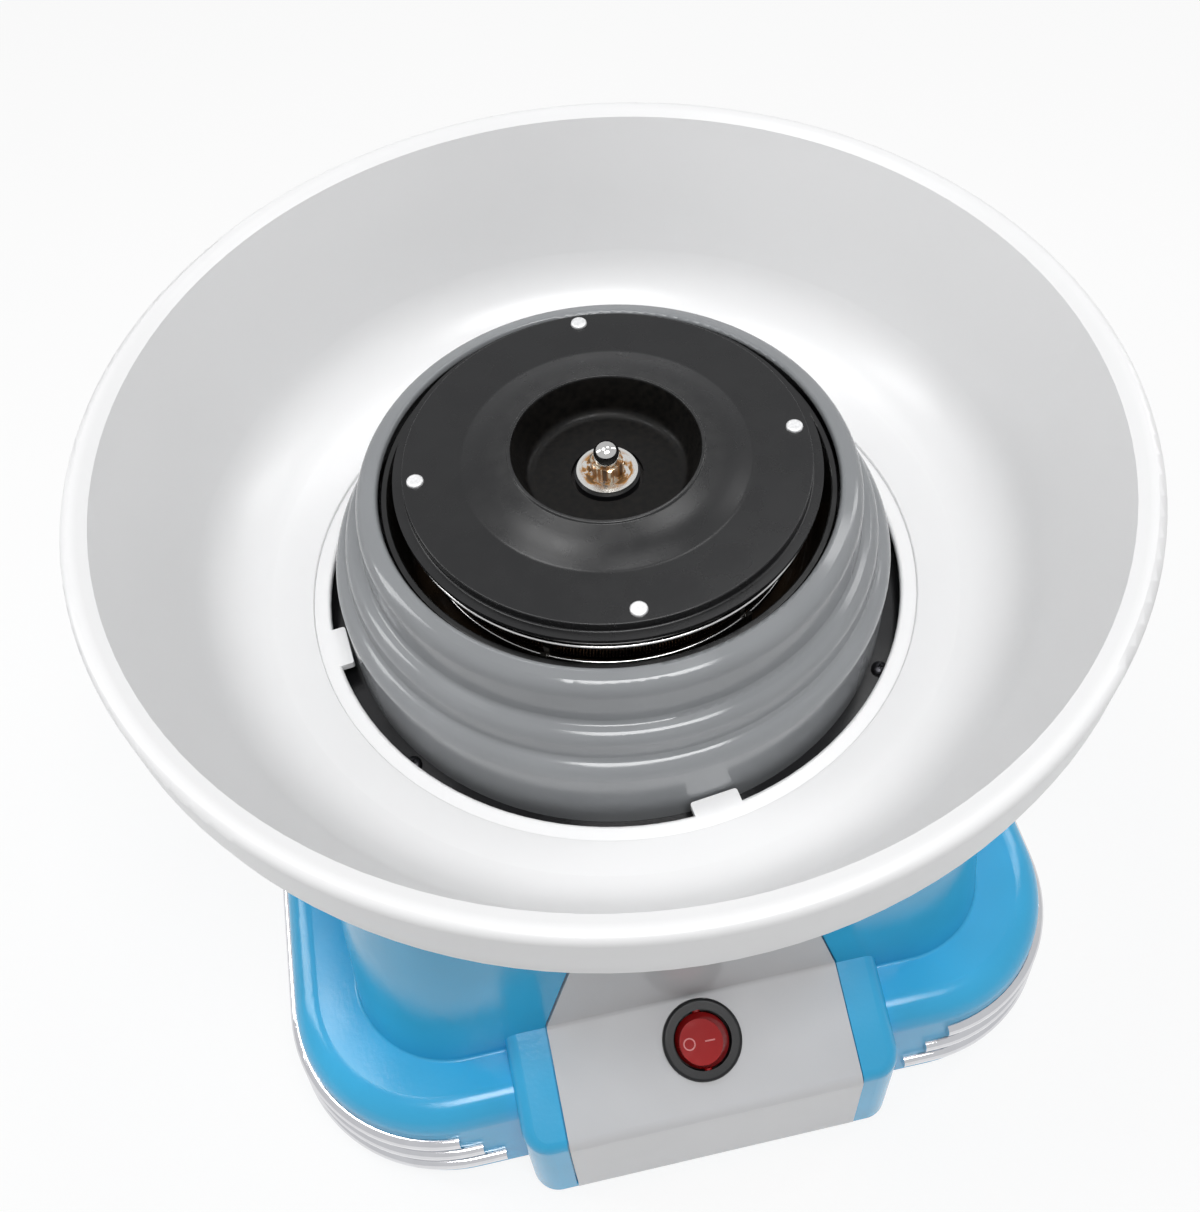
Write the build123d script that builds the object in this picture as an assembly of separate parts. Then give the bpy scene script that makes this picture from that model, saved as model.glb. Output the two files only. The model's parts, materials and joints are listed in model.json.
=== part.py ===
from build123d import *
from math import cos, sin, tan, atan, atan2, hypot, radians
import os

# Tabletop cotton candy machine: base, spinning head, guard ring and bowl.
# Millimetres, +Z up, the switch panel faces -Y. The origin lies on the spin
# axis, at the level of the surface that the rubber feet stand on.

os.makedirs("parts", exist_ok=True)

# ---------------------------------------------------------------- clearances
FACE_GAP = 0.3          # between pieces that only stand close together
SEAT_GAP = 0.1          # round a piece that is pushed into its seat
RUN_GAP = 0.04          # radial running fit of shafts and pins
SCREW_GAP = 0.15        # radial gap round a screw shank in a cover

# ---------------------------------------------------------------- feet and bottom plate
FOOT_R = 9.0
FOOT_H = 3.0
FOOT_ROUND = 1.0
FOOT_PEG_R = 3.0
FOOT_IN = 44.0          # foot centres inside the base's lower edge, both ways
PLATE_T = 2.5
VENT_COUNT = 7
VENT_LENGTH = 46.0
VENT_WIDTH = 3.0
VENT_PITCH = 8.0

# ---------------------------------------------------------------- blue housing
WALL = 2.4
BASE_HALF = 123.7       # half of the square base at its lower edge, without the strips
BASE_CORNER = 50.0      # plan radius of its corners there
BASE_DRAW = 4.1         # the base's walls draw in this much up to the ledge
BASE_Y = 3.5            # the base sits a little behind the spin axis
LEDGE_H = 40.5          # ledge round the tower, above the housing's lower edge
LEDGE_ROUND = 9.0       # rounding of the ledge's outer edge
LEDGE_W = 24.2          # the tower's foot is this far inside the base's lower edge
TOWER_H = 85.5          # tower above the ledge
TOWER_DRAW = 7.5        # its walls draw in this much up to the roof
TOWER_FOOT_CORNER = 30.0
TOWER_TOP_CORNER = 45.0
TOWER_Y = 1.2           # middle of the tower behind the spin axis
TOWER_ROUND = 5.0       # rounding of the roof's edge
COVE = 0.8              # hollow rounding where the tower meets the ledge
BOSS_R = 4.5
BOSS_IN = 28.0          # screw bosses inside the base's lower edge, both ways
BASE_SCREW_R = 1.5
BASE_SCREW_L = 14.0     # thread length in its boss
BASE_SCREW_HEAD_R = 3.2
BASE_SCREW_HEAD_H = 1.6

# ---------------------------------------------------------------- console: cheeks and panel
CHEEK_HALF = 57.0       # half width over both cheeks
CHEEK_CORNER = 8.0      # plan radius of the cheeks' front corners
CHEEK_EDGE = 4.0        # rounding along the cheeks' upper edges
CONSOLE_ROOT = 10.0     # the console runs this far into the tower
DECK_RUN = 31.9         # depth of the sloping deck
DECK_RISE = 13.0        # height that the deck gains over that depth
DECK_OUT = 0.4          # the deck's rear crease stands this far out of the tower
FACET_H = 35.0          # height of the front facet
FACET_RUN = 3.2         # lean of the front facet, forward at its foot
PANEL_LIP_UP = 2.5      # panel's lower edge above the housing's lower edge
PANEL_HALF = 44.0
PANEL_T = 2.2
PANEL_PROUD = 0.8       # the panel stands this far out of the cheeks
PANEL_GAP = 0.5         # dark joint line beside the panel
UPRIGHT_H = 53.5        # height of the upright facet above the deck
UPRIGHT_TAPER_H = 35.5  # its sides draw in up to this height
UPRIGHT_HALF = 34.0     # half width that they draw in to
DECK_BACK_ROUND = 1.5   # bend between the upright facet and the deck
DECK_FRONT_ROUND = 4.0  # bend between the deck and the front facet

# ---------------------------------------------------------------- chrome strips
TRIM_COUNT = 3
TRIM_H = 5.0            # height of one strip
TRIM_BULGE = 2.2        # how far its half-round stands out
TRIM_UP = 5.7           # lowest strip above the housing's lower edge
TRIM_PITCH = 9.0
TRIM_END = 7.0          # the lowest strip stops this far from the cheeks
TRIM_END_STEP = 6.0     # and each strip above it this much earlier

# ---------------------------------------------------------------- rocker switch
SWITCH_BACK = 11.8      # bezel centre in front of the deck's rear crease
BEZEL_R = 11.8
BEZEL_H = 2.0
BARREL_R = 10.0
BARREL_DEPTH = 13.0
ROCKER_R = 8.0
ROCKER_TOP_R = 6.3
ROCKER_RISE = 3.8       # face height above the bezel, untilted
ROCKER_SINK = 4.0       # how far the rocker reaches below the bezel's top
ROCKER_GAP = 0.6        # radial gap between the rocker and the bezel
ROCKER_ROOM = 2.4       # free depth under the rocker
ROCKER_TILT = 9.0       # degrees to either side of level
ROCKER_DISH = 0.5       # hollow of the rocker's face
PIVOT_DEPTH = 2.0       # pivot axis below the bezel's top
PIVOT_R = 1.2
PIVOT_END = 0.6         # pin ends stop this far inside the barrel's outside
BLADE_W = 4.8           # blade contacts under the body
BLADE_T = 0.8
BLADE_L = 8.0
BLADE_PITCH = 6.2

# ---------------------------------------------------------------- neck tray
TRAY_T = 3.0
TRAY_WALL_OUT = 7.7     # inside of the wall that centres the bowl, out from the ring
TRAY_RIM_T = 3.6
TRAY_SEAT_H = 5.0       # wall height above the tray floor
TRAY_HOLE_R = 24.0
TRAY_SPIGOT_R = 66.0
TRAY_SPIGOT_H = 5.0
TRAY_SCREW_R = 1.5
TRAY_SCREW_HEAD_R = 2.2
TRAY_SCREW_HEAD_H = 1.7
TRAY_SCREW_END = 2.4    # screw point below the roof
TRAY_SCREW_ANGLE = 36.0

# ---------------------------------------------------------------- guard ring
RING_T = 2.2
RING_R = 76.2           # outside of the ring at its foot
RING_FOOT_W = 6.0       # flange under the ring
RING_H = 48.3           # mouth above the tray floor
RING_DRAW = 16.1        # mouth radius is this much less than the foot's
RING_MOUTH_ROUND = 0.88
RING_STEPS = (          # drawn in by, height above the tray floor, rounding
    (10.4, 46.4, 4.2),
    (9.6, 34.2, 1.4),
    (5.0, 32.8, 3.6),
    (4.3, 25.4, 1.4),
    (0.4, 23.8, 4.2),
)

# ---------------------------------------------------------------- bowl
BOWL_T = 2.2
BOWL_HOLE_GAP = 4.4     # between the guard ring and the bowl's hole
BOWL_STEP_OUT = 4.4     # ring line on the floor, out from the hole
BOWL_STEP_H = 1.0
BOWL_FOOT_W = 1.0       # foot ring outside the tray's wall
LIP_R = 132.5
BOWL_KNEE_IN = 25.0     # bend of the wall inside the lip
BOWL_KNEE_H = 11.0      # and above the seat
BOWL_KNEE_ROUND = 26.0
BOWL_CREASE_IN = 6.5    # crease inside the lip
BOWL_CREASE_H = 61.0    # and above the seat
LIP_RISE = 1.6
LIP_CREST_IN = 3.3      # crest of the lip inside its outer radius
LIP_CREST_ROUND = 4.0
LIP_ROUND = 2.3
LIP_SKIRT = 14.0
LIP_BAND = 4.4          # lower band of the skirt, set in a little
LIP_BAND_SET = 0.6
BOWL_TAB_COUNT = 4
BOWL_TAB_W = 12.5
BOWL_TAB_GAP = 0.7      # between each tab and the guard ring
BOWL_TAB_ANGLE = -83.0
COLLAR_T = 1.5          # collar that centres the bowl in the tray
COLLAR_DROP = 3.4

# ---------------------------------------------------------------- heater well and coil
WELL_T = 0.9
WELL_GAP = 0.9          # between the well's rim and the ring's mouth
WELL_SINK = 2.5         # rim below the ring's mouth
WELL_DEPTH = 21.8
WELL_ROUND = 4.0        # rounding between its wall and its floor
WELL_HUB_R = 9.0
WELL_HUB_UP = 2.0
WELL_HUB_DOWN = 6.0
COIL_IN = 12.7          # coil's centre line inside the well's wall
COIL_UP = 11.0          # coil centre above the well's floor
COIL_WIRE_R = 2.0       # outer radius of the wound coil
COIL_GAP_DEG = 9.0
WIRE_R = 0.65
WIRE_OUT = 3.8          # guard wire outside the coil's centre line
SUPPORT_COUNT = 6
SUPPORT_T = 1.6
SUPPORT_EDGE = 1.15     # material beside the notches
SUPPORT_ABOVE = 2.4     # above the coil's centre
SUPPORT_CHAMFER = 1.5
TERMINAL_R = 1.0
TERMINAL_DROP = 14.0
TERMINAL_IN = 1.6       # degrees from the coil's end to its terminal
INSULATOR_R = 2.6
INSULATOR_FLANGE = 1.0
INSULATOR_DROP = 3.5    # below the well's floor
CUTOUT_R = 7.5
CUTOUT_H = 6.0
CUTOUT_PCR = 30.0
CUTOUT_ANGLE = -50.0

# ---------------------------------------------------------------- spindle
SHAFT_R = 2.5
SHOULDER_R = 4.0        # shoulder that the pan is clamped on
SHOULDER_H = 4.0
BUSH_R = 5.0
BUSH_FLANGE_R = 7.0
BUSH_FLANGE_T = 1.2
CLAMP_R = 8.5           # black disc between the pan and the washer
CLAMP_H = 3.0
COLLAR_R = 3.25
COLLAR_H = 2.4
NUT_AF = 8.0
NUT_H = 4.0
NUT_CHAMFER_DEG = 30.0
WASHER_R = 7.95
WASHER_T = 1.0

# ---------------------------------------------------------------- spinning head
PAN_SINK = 1.2          # pan floor below the well's rim
PAN_T = 0.9
PAN_IN = 6.0            # floss gap between the pan and the well's wall
PAN_HUB_R = 14.0
PAN_DIP_IN = 15.0       # lowest ring of the pan inside its shelf
PAN_DIP = 2.0
PAN_SHELF_IN = 8.2      # shelf's inner edge inside the pan's rim
PAN_SHELF_H = 2.8       # shelf above the pan floor
PAN_BEAD_R = 0.7
PAN_ROUNDS = (4, 6, 4)  # roundings of hub, dip and shelf
CAP_T = 1.2
CAP_UP = 9.6            # cap's flat top above the pan floor
CAP_OVER = 0.6          # cap's flange past the pan's rim
CAP_FLANGE_W = 2.1
CAP_FLANGE_DROP = 2.6
CONE_IN = 14.8          # cone's foot inside the flat's outer edge
CRATER_IN = 13.5        # crater's lip inside the cone's foot
CRATER_H = 3.4          # crater lip above the flat
CAP_ROUNDS = (1.0, 2.5, 0.6, 0.3)   # roundings of lip, cone's foot, flat's edge and flange
FUNNEL_R = 11.0         # open lower end of the crater
FUNNEL_GAP = 1.4        # above the pan's floor
RIVET_COUNT = 4
RIVET_ANGLE = 87.0
RIVET_R = 1.0
RIVET_BODY_R = 1.6      # thick middle that keeps cap and pan apart
RIVET_HEAD_R = 2.2
RIVET_HEAD_H = 0.9
RIVET_DOME = 0.63       # rounding of the upper head

# ---------------------------------------------------------------- motor
BRACKET_DROP = 10.0     # motor bracket below the tower's roof
BRACKET_T = 2.0
BRACKET_HALF = 48.0
BRACKET_W = 40.0
BRACKET_ROUND = 6.0
BRACKET_BOSS_R = 4.5
BRACKET_REACH = 40.0
BRACKET_ROW = 13.0
MOTOR_R = 18.5
MOTOR_LENGTH = 50.0
MOTOR_ROUND = 2.0
MOTOR_NECK_R = 6.0
MOTOR_NECK_H = 5.0
MOTOR_SCREW_REACH = 12.5
MOTOR_SCREW_L = 5.0
SHAFT_TAIL = 46.0       # shaft length inside the motor
END_CAP_H = 7.0
END_CAP_IN = 1.0
MACHINE_SCREW_R = 1.5
MACHINE_HEAD_R = 2.8
MACHINE_HEAD_H = 1.8

# ---------------------------------------------------------------- cord inlet
GLAND_UP = 19.0         # inlet in the tower's back, above the ledge
GLAND_R = 7.0
GLAND_BORE_R = 3.3
GLAND_FLANGE_R = 8.5
GLAND_FLANGE_T = 2.0
GLAND_LENGTH = 9.0
BLOCK_LENGTH = 32.0
BLOCK_WIDTH = 16.0
BLOCK_HEIGHT = 12.0
BLOCK_ROUND = 1.5
BLOCK_Y = 62.0
BLOCK_WELL_R = 2.4
BLOCK_WELL_PITCH = 9.0
BLOCK_WELL_DEPTH = 6.0

UP = (Align.CENTER, Align.CENTER, Align.MIN)
DOWN = (Align.CENTER, Align.CENTER, Align.MAX)


# ================================================================ helpers
def save(part, name):
    """Write one node and say what it holds."""
    part.label = name
    export_step(part, f"parts/{name}.step")
    print(f"{name}: {len(part.solids())} solid(s), {part.volume:.1f} mm3")


def unit_normal(a, b):
    """Unit vector to the right of the way from one point to the next."""
    run = hypot(b[0] - a[0], b[1] - a[1])
    return (b[1] - a[1]) / run, (a[0] - b[0]) / run


def offset_line(points, distance):
    """Open line moved to its right-hand side by a distance, with mitred corners."""
    normals = [unit_normal(a, b) for a, b in zip(points, points[1:])]
    moved = []
    for point, (ax, ay), (bx, by) in zip(points, normals[:1] + normals, normals + normals[-1:]):
        share = distance / (1 + ax * bx + ay * by)
        moved.append((point[0] + share * (ax + bx), point[1] + share * (ay + by)))
    return moved


def beyond(a, b, distance):
    """Point that lies past b on the way from a to b."""
    share = distance / hypot(b[0] - a[0], b[1] - a[1])
    return b[0] + (b[0] - a[0]) * share, b[1] + (b[1] - a[1]) * share


def turn_sign(a, b, c):
    """Plus one where a line turns left at b, minus one where it turns right."""
    cross = (b[0] - a[0]) * (c[1] - b[1]) - (b[1] - a[1]) * (c[0] - b[0])
    return 1 if cross > 0 else -1


def shell_outline(points, rounds, thickness, end_round=0.0):
    """Closed outline of an even wall to the right of a line, with its corner radii."""
    turns = [turn_sign(*trio) for trio in zip(points, points[1:], points[2:])]
    far_side = [max(SEAT_GAP, r + thickness * turn) for r, turn in zip(rounds, turns)]
    outline = list(points) + offset_line(points, thickness)[::-1]
    radii = [end_round, *rounds, end_round, end_round, *far_side[::-1], end_round]
    return outline, radii


def turned(points, rounds):
    """Revolve a closed outline of (radius, height) points round the Z axis."""
    line = FilletPolyline([(r, 0, z) for r, z in points], radius=rounds, close=True)
    return revolve(make_face(line.edges()), Axis.Z)


def side_profile(points, rounds, half):
    """Extrude a closed (depth, height) outline sideways to both half widths."""
    line = FilletPolyline([(0, y, z) for y, z in points], radius=rounds, close=True)
    return extrude(make_face(line.edges()), half, dir=(1, 0, 0), both=True)


def disc(radius, low, high):
    """Upright cylinder between two heights on the spin axis."""
    return Pos(0, 0, low) * Cylinder(radius, high - low, align=UP)


def tube(outer, inner, low, high):
    """Upright ring between two heights on the spin axis."""
    return disc(outer, low, high) - disc(inner, low, high)


def around(part, count, first=0.0):
    """Copies of a part turned evenly round the Z axis."""
    return [Rot(0, 0, first + i * 360 / count) * part for i in range(count)]


def at_corners(part, reach_x, reach_y, middle_y=0.0):
    """Copies of a part at the four corners of a rectangle."""
    return [Pos(x, middle_y + y, 0) * part for x in (-reach_x, reach_x) for y in (-reach_y, reach_y)]


def group(parts):
    """Separate solids that share one node."""
    return Compound(children=[solid for part in parts for solid in part.solids()])


def rounded_plan(half, corner, z, y=0.0):
    """Rounded square face at one height."""
    return Pos(0, y, z) * RectangleRounded(2 * half, 2 * half, corner)


def prism(half, corner, low, high, y=0.0):
    """Rounded square block between two heights."""
    return extrude(rounded_plan(half, corner, low, y), high - low)


def round_top(part, radius):
    """Round the edges of a part's upper face."""
    return fillet(part.faces().sort_by(Axis.Z)[-1].edges(), radius)


def round_foot(part, radius):
    """Round the edges of a part's lower face."""
    return fillet(part.faces().sort_by(Axis.Z)[0].edges(), radius)


def screw(shank_r, shank_l, head_r, head_h):
    """Screw on its seat: the shank points up, the head lies below."""
    head = round_foot(Cylinder(head_r, head_h, align=DOWN), head_h / 2)
    return head + Cylinder(shank_r, shank_l, align=UP)


# ================================================================ heights and slopes
HOUSING_Z = FOOT_H
PLATE_TOP = HOUSING_Z + PLATE_T
LEDGE_Z = HOUSING_Z + LEDGE_H
TOWER_Z = LEDGE_Z + TOWER_H
TRAY_FLOOR_Z = TOWER_Z + TRAY_T
SEAT_Z = TRAY_FLOOR_Z + TRAY_SEAT_H
MOUTH_Z = TRAY_FLOOR_Z + RING_H
WELL_TOP_Z = MOUTH_Z - WELL_SINK
WELL_FLOOR_Z = WELL_TOP_Z - WELL_DEPTH
COIL_Z = WELL_FLOOR_Z + COIL_UP
PAN_Z = WELL_TOP_Z - PAN_SINK
SHELF_Z = PAN_Z + PAN_SHELF_H
CAP_Z = PAN_Z + CAP_UP
FLANGE_Z = CAP_Z - CAP_FLANGE_DROP
BRACKET_TOP = TOWER_Z - BRACKET_DROP
MOTOR_Z = BRACKET_TOP - BRACKET_T
CAN_FOOT_Z = MOTOR_Z - MOTOR_LENGTH
CLAMP_Z = PAN_Z + CLAMP_H
WASHER_Z = CLAMP_Z + WASHER_T
NUT_Z = WASHER_Z + NUT_H
COLLAR_Z = NUT_Z + COLLAR_H

TOWER_FOOT = BASE_HALF - LEDGE_W
TRAY_WALL_R = RING_R + TRAY_WALL_OUT
TOWER_SLOPE = TOWER_DRAW / TOWER_H
BASE_SLOPE = BASE_DRAW / LEDGE_H
DECK_SLOPE = atan2(DECK_RISE, DECK_RUN)
BOSS_REACH = BASE_HALF - BOSS_IN
FOOT_REACH = BASE_HALF - FOOT_IN


def base_draw(z):
    """How far the base's walls have drawn in at a height."""
    return BASE_SLOPE * (z - HOUSING_Z)


def tower_half(z):
    """Half width of the tower's outside at a height."""
    return TOWER_FOOT - TOWER_SLOPE * (z - LEDGE_Z)


def tower_corner(z):
    """Plan radius of the tower's corners at a height."""
    return TOWER_FOOT_CORNER + (TOWER_TOP_CORNER - TOWER_FOOT_CORNER) * (z - LEDGE_Z) / TOWER_H


# creases of the panel's outer face, from its lower edge upwards: (y, z)
LIP_Z = HOUSING_Z + PANEL_LIP_UP
DECK_BACK_Z = LIP_Z + FACET_H + DECK_RISE
DECK_BACK_Y = TOWER_Y - tower_half(DECK_BACK_Z) - DECK_OUT
UPRIGHT_Z = DECK_BACK_Z + UPRIGHT_H
DECK_FRONT = (DECK_BACK_Y - DECK_RUN, LIP_Z + FACET_H)
PANEL_LINE = [
    (DECK_FRONT[0] - FACET_RUN, LIP_Z),
    DECK_FRONT,
    (DECK_BACK_Y, DECK_BACK_Z),
    (TOWER_Y - tower_half(UPRIGHT_Z) - PANEL_PROUD, UPRIGHT_Z),
]

SWITCH_PLANE = Plane(
    origin=(0, DECK_BACK_Y - SWITCH_BACK, DECK_BACK_Z - SWITCH_BACK * tan(DECK_SLOPE)),
    x_dir=(1, 0, 0),
    z_dir=(0, -sin(DECK_SLOPE), cos(DECK_SLOPE)),
)
GLAND_PLANE = Plane(
    origin=(0, TOWER_Y + tower_half(LEDGE_Z + GLAND_UP), LEDGE_Z + GLAND_UP),
    x_dir=(-1, 0, 0),
    z_dir=(0, cos(atan(TOWER_SLOPE)), sin(atan(TOWER_SLOPE))),
)


# ================================================================ housing
def base_plan(z, inset):
    """Outline of the base at a height, moved in by an inset."""
    moved = base_draw(z) + inset
    return rounded_plan(BASE_HALF - moved, BASE_CORNER - moved, z, BASE_Y)


def base_slab(low, high, inset):
    """Slice of the base with its sloping walls, moved in by an inset."""
    return loft([base_plan(z, inset) for z in (low, high)], ruled=True)


def ledge_block(inset):
    """Base with its rounded upper edge, its walls moved in by an inset."""
    return round_top(base_slab(HOUSING_Z, LEDGE_Z - inset, inset), LEDGE_ROUND - inset)


def tower_block(inset):
    """Tapering rounded-square tower with its rounded roof, moved in by an inset."""
    low = LEDGE_Z - inset - WALL
    high = TOWER_Z - inset
    plans = [rounded_plan(tower_half(z) - inset, tower_corner(z) - inset, z, TOWER_Y) for z in (low, high)]
    return round_top(loft(plans, ruled=True), TOWER_ROUND - inset)


def console_block(inset):
    """Block under the panel and its two cheeks, with rounded corners and edges."""
    lip, deck, back, _ = offset_line(PANEL_LINE, PANEL_PROUD + inset)
    lean = (deck[0] - lip[0]) / (deck[1] - lip[1])
    root_y = back[0] + DECK_OUT + CONSOLE_ROOT
    points = [
        (root_y, HOUSING_Z),
        (deck[0] - lean * (deck[1] - HOUSING_Z), HOUSING_Z),
        deck,
        (root_y, deck[1] + (root_y - deck[0]) * tan(DECK_SLOPE)),
    ]
    block = side_profile(points, [0] * 4, CHEEK_HALF - inset)
    front = block.faces().sort_by(Axis.Y)[0]
    corners = [edge for edge in front.edges() if abs(edge.center().X) > CHEEK_HALF / 2]
    block = fillet(corners, CHEEK_CORNER - inset)
    deck_face = block.faces().sort_by(Axis((0, 0, 0), SWITCH_PLANE.z_dir))[-1]
    edges = [edge for edge in deck_face.edges() if edge.center().Y < root_y - SEAT_GAP]
    return fillet(edges, CHEEK_EDGE - inset)


def panel_view(grow):
    """Long block with the panel's outline as seen from the front, widened by a gap."""
    right = [
        (PANEL_HALF, LIP_Z),
        (PANEL_HALF, DECK_BACK_Z),
        (UPRIGHT_HALF, DECK_BACK_Z + UPRIGHT_TAPER_H),
        (UPRIGHT_HALF, UPRIGHT_Z),
    ]
    left = [(-x, z) for x, z in reversed(right)]
    view = make_face(Polyline(*right, *left, close=True).edges())
    if grow:
        view = offset(view, grow, kind=Kind.INTERSECTION)
    return extrude(Plane.XZ * view, 2 * BASE_HALF)


def panel_body():
    """Three-facet panel of even thickness."""
    outline, radii = shell_outline(PANEL_LINE, (DECK_FRONT_ROUND, DECK_BACK_ROUND), PANEL_T)
    return side_profile(outline, radii, PANEL_HALF) & panel_view(0)


def panel_seat():
    """Recess that the panel lies in, with a joint line all round it."""
    line = offset_line(PANEL_LINE, -PANEL_PROUD)
    line = [beyond(line[1], line[0], PANEL_T), *line[1:-1], beyond(line[-2], line[-1], PANEL_T)]
    rounds = (DECK_FRONT_ROUND + PANEL_PROUD, DECK_BACK_ROUND - PANEL_PROUD)
    outline, radii = shell_outline(line, rounds, PANEL_PROUD + PANEL_T + SEAT_GAP)
    return side_profile(outline, radii, PANEL_HALF + 2 * PANEL_GAP) & panel_view(PANEL_GAP)


def housing_room():
    """Hollow inside of the housing, open at the foot."""
    return ledge_block(WALL) + tower_block(WALL) + console_block(WALL)


def tray_screw_places(part):
    """Copies of a part at the four tray screws."""
    angles = [sign * TRAY_SCREW_ANGLE + turn for sign in (-1, 1) for turn in (0, 180)]
    reach = (RING_R + TRAY_WALL_R - COLLAR_T - FACE_GAP) / 2
    return [Rot(0, 0, angle) * Pos(reach, 0, 0) * part for angle in angles]


def base_housing():
    """Moulded shell: ledge, tower, cheeks, screw bosses and openings."""
    outside = ledge_block(0) + tower_block(0)
    ledge_edges = [edge for edge in outside.edges() if abs(edge.center().Z - LEDGE_Z) < SEAT_GAP]
    foot_line = [edge for edge in ledge_edges if abs(abs(edge.center().X) - TOWER_FOOT) < SEAT_GAP]
    outside = fillet(foot_line, COVE) + console_block(0)
    shell = outside - housing_room()
    boss = Pos(0, 0, PLATE_TOP) * Cylinder(BOSS_R, LEDGE_H - WALL / 2 - PLATE_T, align=UP)
    shell += at_corners(boss, BOSS_REACH, BOSS_REACH, BASE_Y)
    bore = Pos(0, 0, PLATE_TOP) * Cylinder(BASE_SCREW_R + SEAT_GAP, BASE_SCREW_L, align=UP)
    shell -= at_corners(bore, BOSS_REACH, BOSS_REACH, BASE_Y)
    shell -= disc(TRAY_SPIGOT_R + SEAT_GAP, TOWER_Z - 2 * WALL, TOWER_Z + WALL)
    shell -= panel_seat()
    shell -= SWITCH_PLANE * Cylinder(BEZEL_R - SEAT_GAP, 2 * BARREL_DEPTH)
    shell -= GLAND_PLANE * Cylinder(GLAND_R + SEAT_GAP, 2 * GLAND_LENGTH)
    pilot = Pos(0, 0, TOWER_Z) * Cylinder(TRAY_SCREW_R + SEAT_GAP, 4 * WALL)
    shell -= tray_screw_places(pilot)
    return shell


save(base_housing(), "base_housing")
save(panel_body() - SWITCH_PLANE * Cylinder(BARREL_R + SCREW_GAP, 4 * PANEL_T), "control_panel")


# ================================================================ chrome strips
def trim_strip(step):
    """Half-round strip round the sides and back, open in front of the console."""
    low = HOUSING_Z + TRIM_UP + step * TRIM_PITCH
    high = low + TRIM_H
    bulge = TRIM_BULGE - base_draw((low + high) / 2)
    block = prism(BASE_HALF + bulge, BASE_CORNER + bulge, low, high, BASE_Y)
    block = fillet(block.edges().filter_by(Axis.Z, reverse=True), TRIM_BULGE - 2 * SEAT_GAP)
    end = CHEEK_HALF + TRIM_END + step * TRIM_END_STEP
    front = Pos(0, BASE_Y, low) * Box(2 * end, 2 * BASE_HALF, TRIM_H, align=(Align.CENTER, Align.MAX, Align.MIN))
    return block - base_slab(low, high, -SEAT_GAP) - front


for step, place in zip(range(TRIM_COUNT), ("lower", "middle", "upper")):
    save(trim_strip(step), f"trim_strip_{place}")


# ================================================================ bottom plate, feet, screws
def bottom_plate():
    """Plate that closes the housing: vents, foot holes and screw holes."""
    inset = WALL + FACE_GAP
    edge = base_draw(PLATE_TOP) + inset
    plate = prism(BASE_HALF - edge, BASE_CORNER - edge, HOUSING_Z, PLATE_TOP, BASE_Y)
    console = console_block(inset) & Pos(0, 0, HOUSING_Z) * Box(4 * BASE_HALF, 4 * BASE_HALF, PLATE_T, align=UP)
    plate += console
    vent = Pos(0, 0, HOUSING_Z) * extrude(SlotOverall(VENT_LENGTH, VENT_WIDTH), PLATE_T)
    middle = (VENT_COUNT - 1) / 2
    plate -= [Pos(0, BASE_Y + (i - middle) * VENT_PITCH, 0) * vent for i in range(VENT_COUNT)]
    peg_hole = Pos(0, 0, HOUSING_Z) * Cylinder(FOOT_PEG_R + SEAT_GAP, PLATE_T, align=UP)
    plate -= at_corners(peg_hole, FOOT_REACH, FOOT_REACH, BASE_Y)
    screw_hole = Pos(0, 0, HOUSING_Z) * Cylinder(BASE_SCREW_R + SCREW_GAP, PLATE_T, align=UP)
    return plate - at_corners(screw_hole, BOSS_REACH, BOSS_REACH, BASE_Y)


save(bottom_plate(), "bottom_plate")

foot = round_foot(Cylinder(FOOT_R, FOOT_H, align=UP), FOOT_ROUND)
foot += Pos(0, 0, FOOT_H) * Cylinder(FOOT_PEG_R, PLATE_T, align=UP)
save(group(at_corners(foot, FOOT_REACH, FOOT_REACH, BASE_Y)), "rubber_feet")

base_screw = screw(BASE_SCREW_R, PLATE_T + BASE_SCREW_L - FACE_GAP, BASE_SCREW_HEAD_R, BASE_SCREW_HEAD_H)
base_screw = Pos(0, 0, HOUSING_Z) * base_screw
save(group(at_corners(base_screw, BOSS_REACH, BOSS_REACH, BASE_Y)), "base_screws")

# ================================================================ rocker switch
PIVOT_Z = BEZEL_H - PIVOT_DEPTH


def switch_body():
    """Round bezel and barrel, hollow for the rocker, with its pivot holes."""
    body = round_top(Cylinder(BEZEL_R, BEZEL_H, align=UP), BEZEL_H / 2)
    body += Cylinder(BARREL_R, BARREL_DEPTH, align=DOWN)
    body -= Pos(0, 0, BEZEL_H) * Cylinder(ROCKER_R + ROCKER_GAP, ROCKER_SINK + ROCKER_ROOM, align=DOWN)
    pin_room = BARREL_R - PIVOT_END + FACE_GAP
    return body - Pos(0, 0, PIVOT_Z) * Rot(90, 0, 0) * Cylinder(PIVOT_R + RUN_GAP, 2 * pin_room)


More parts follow.
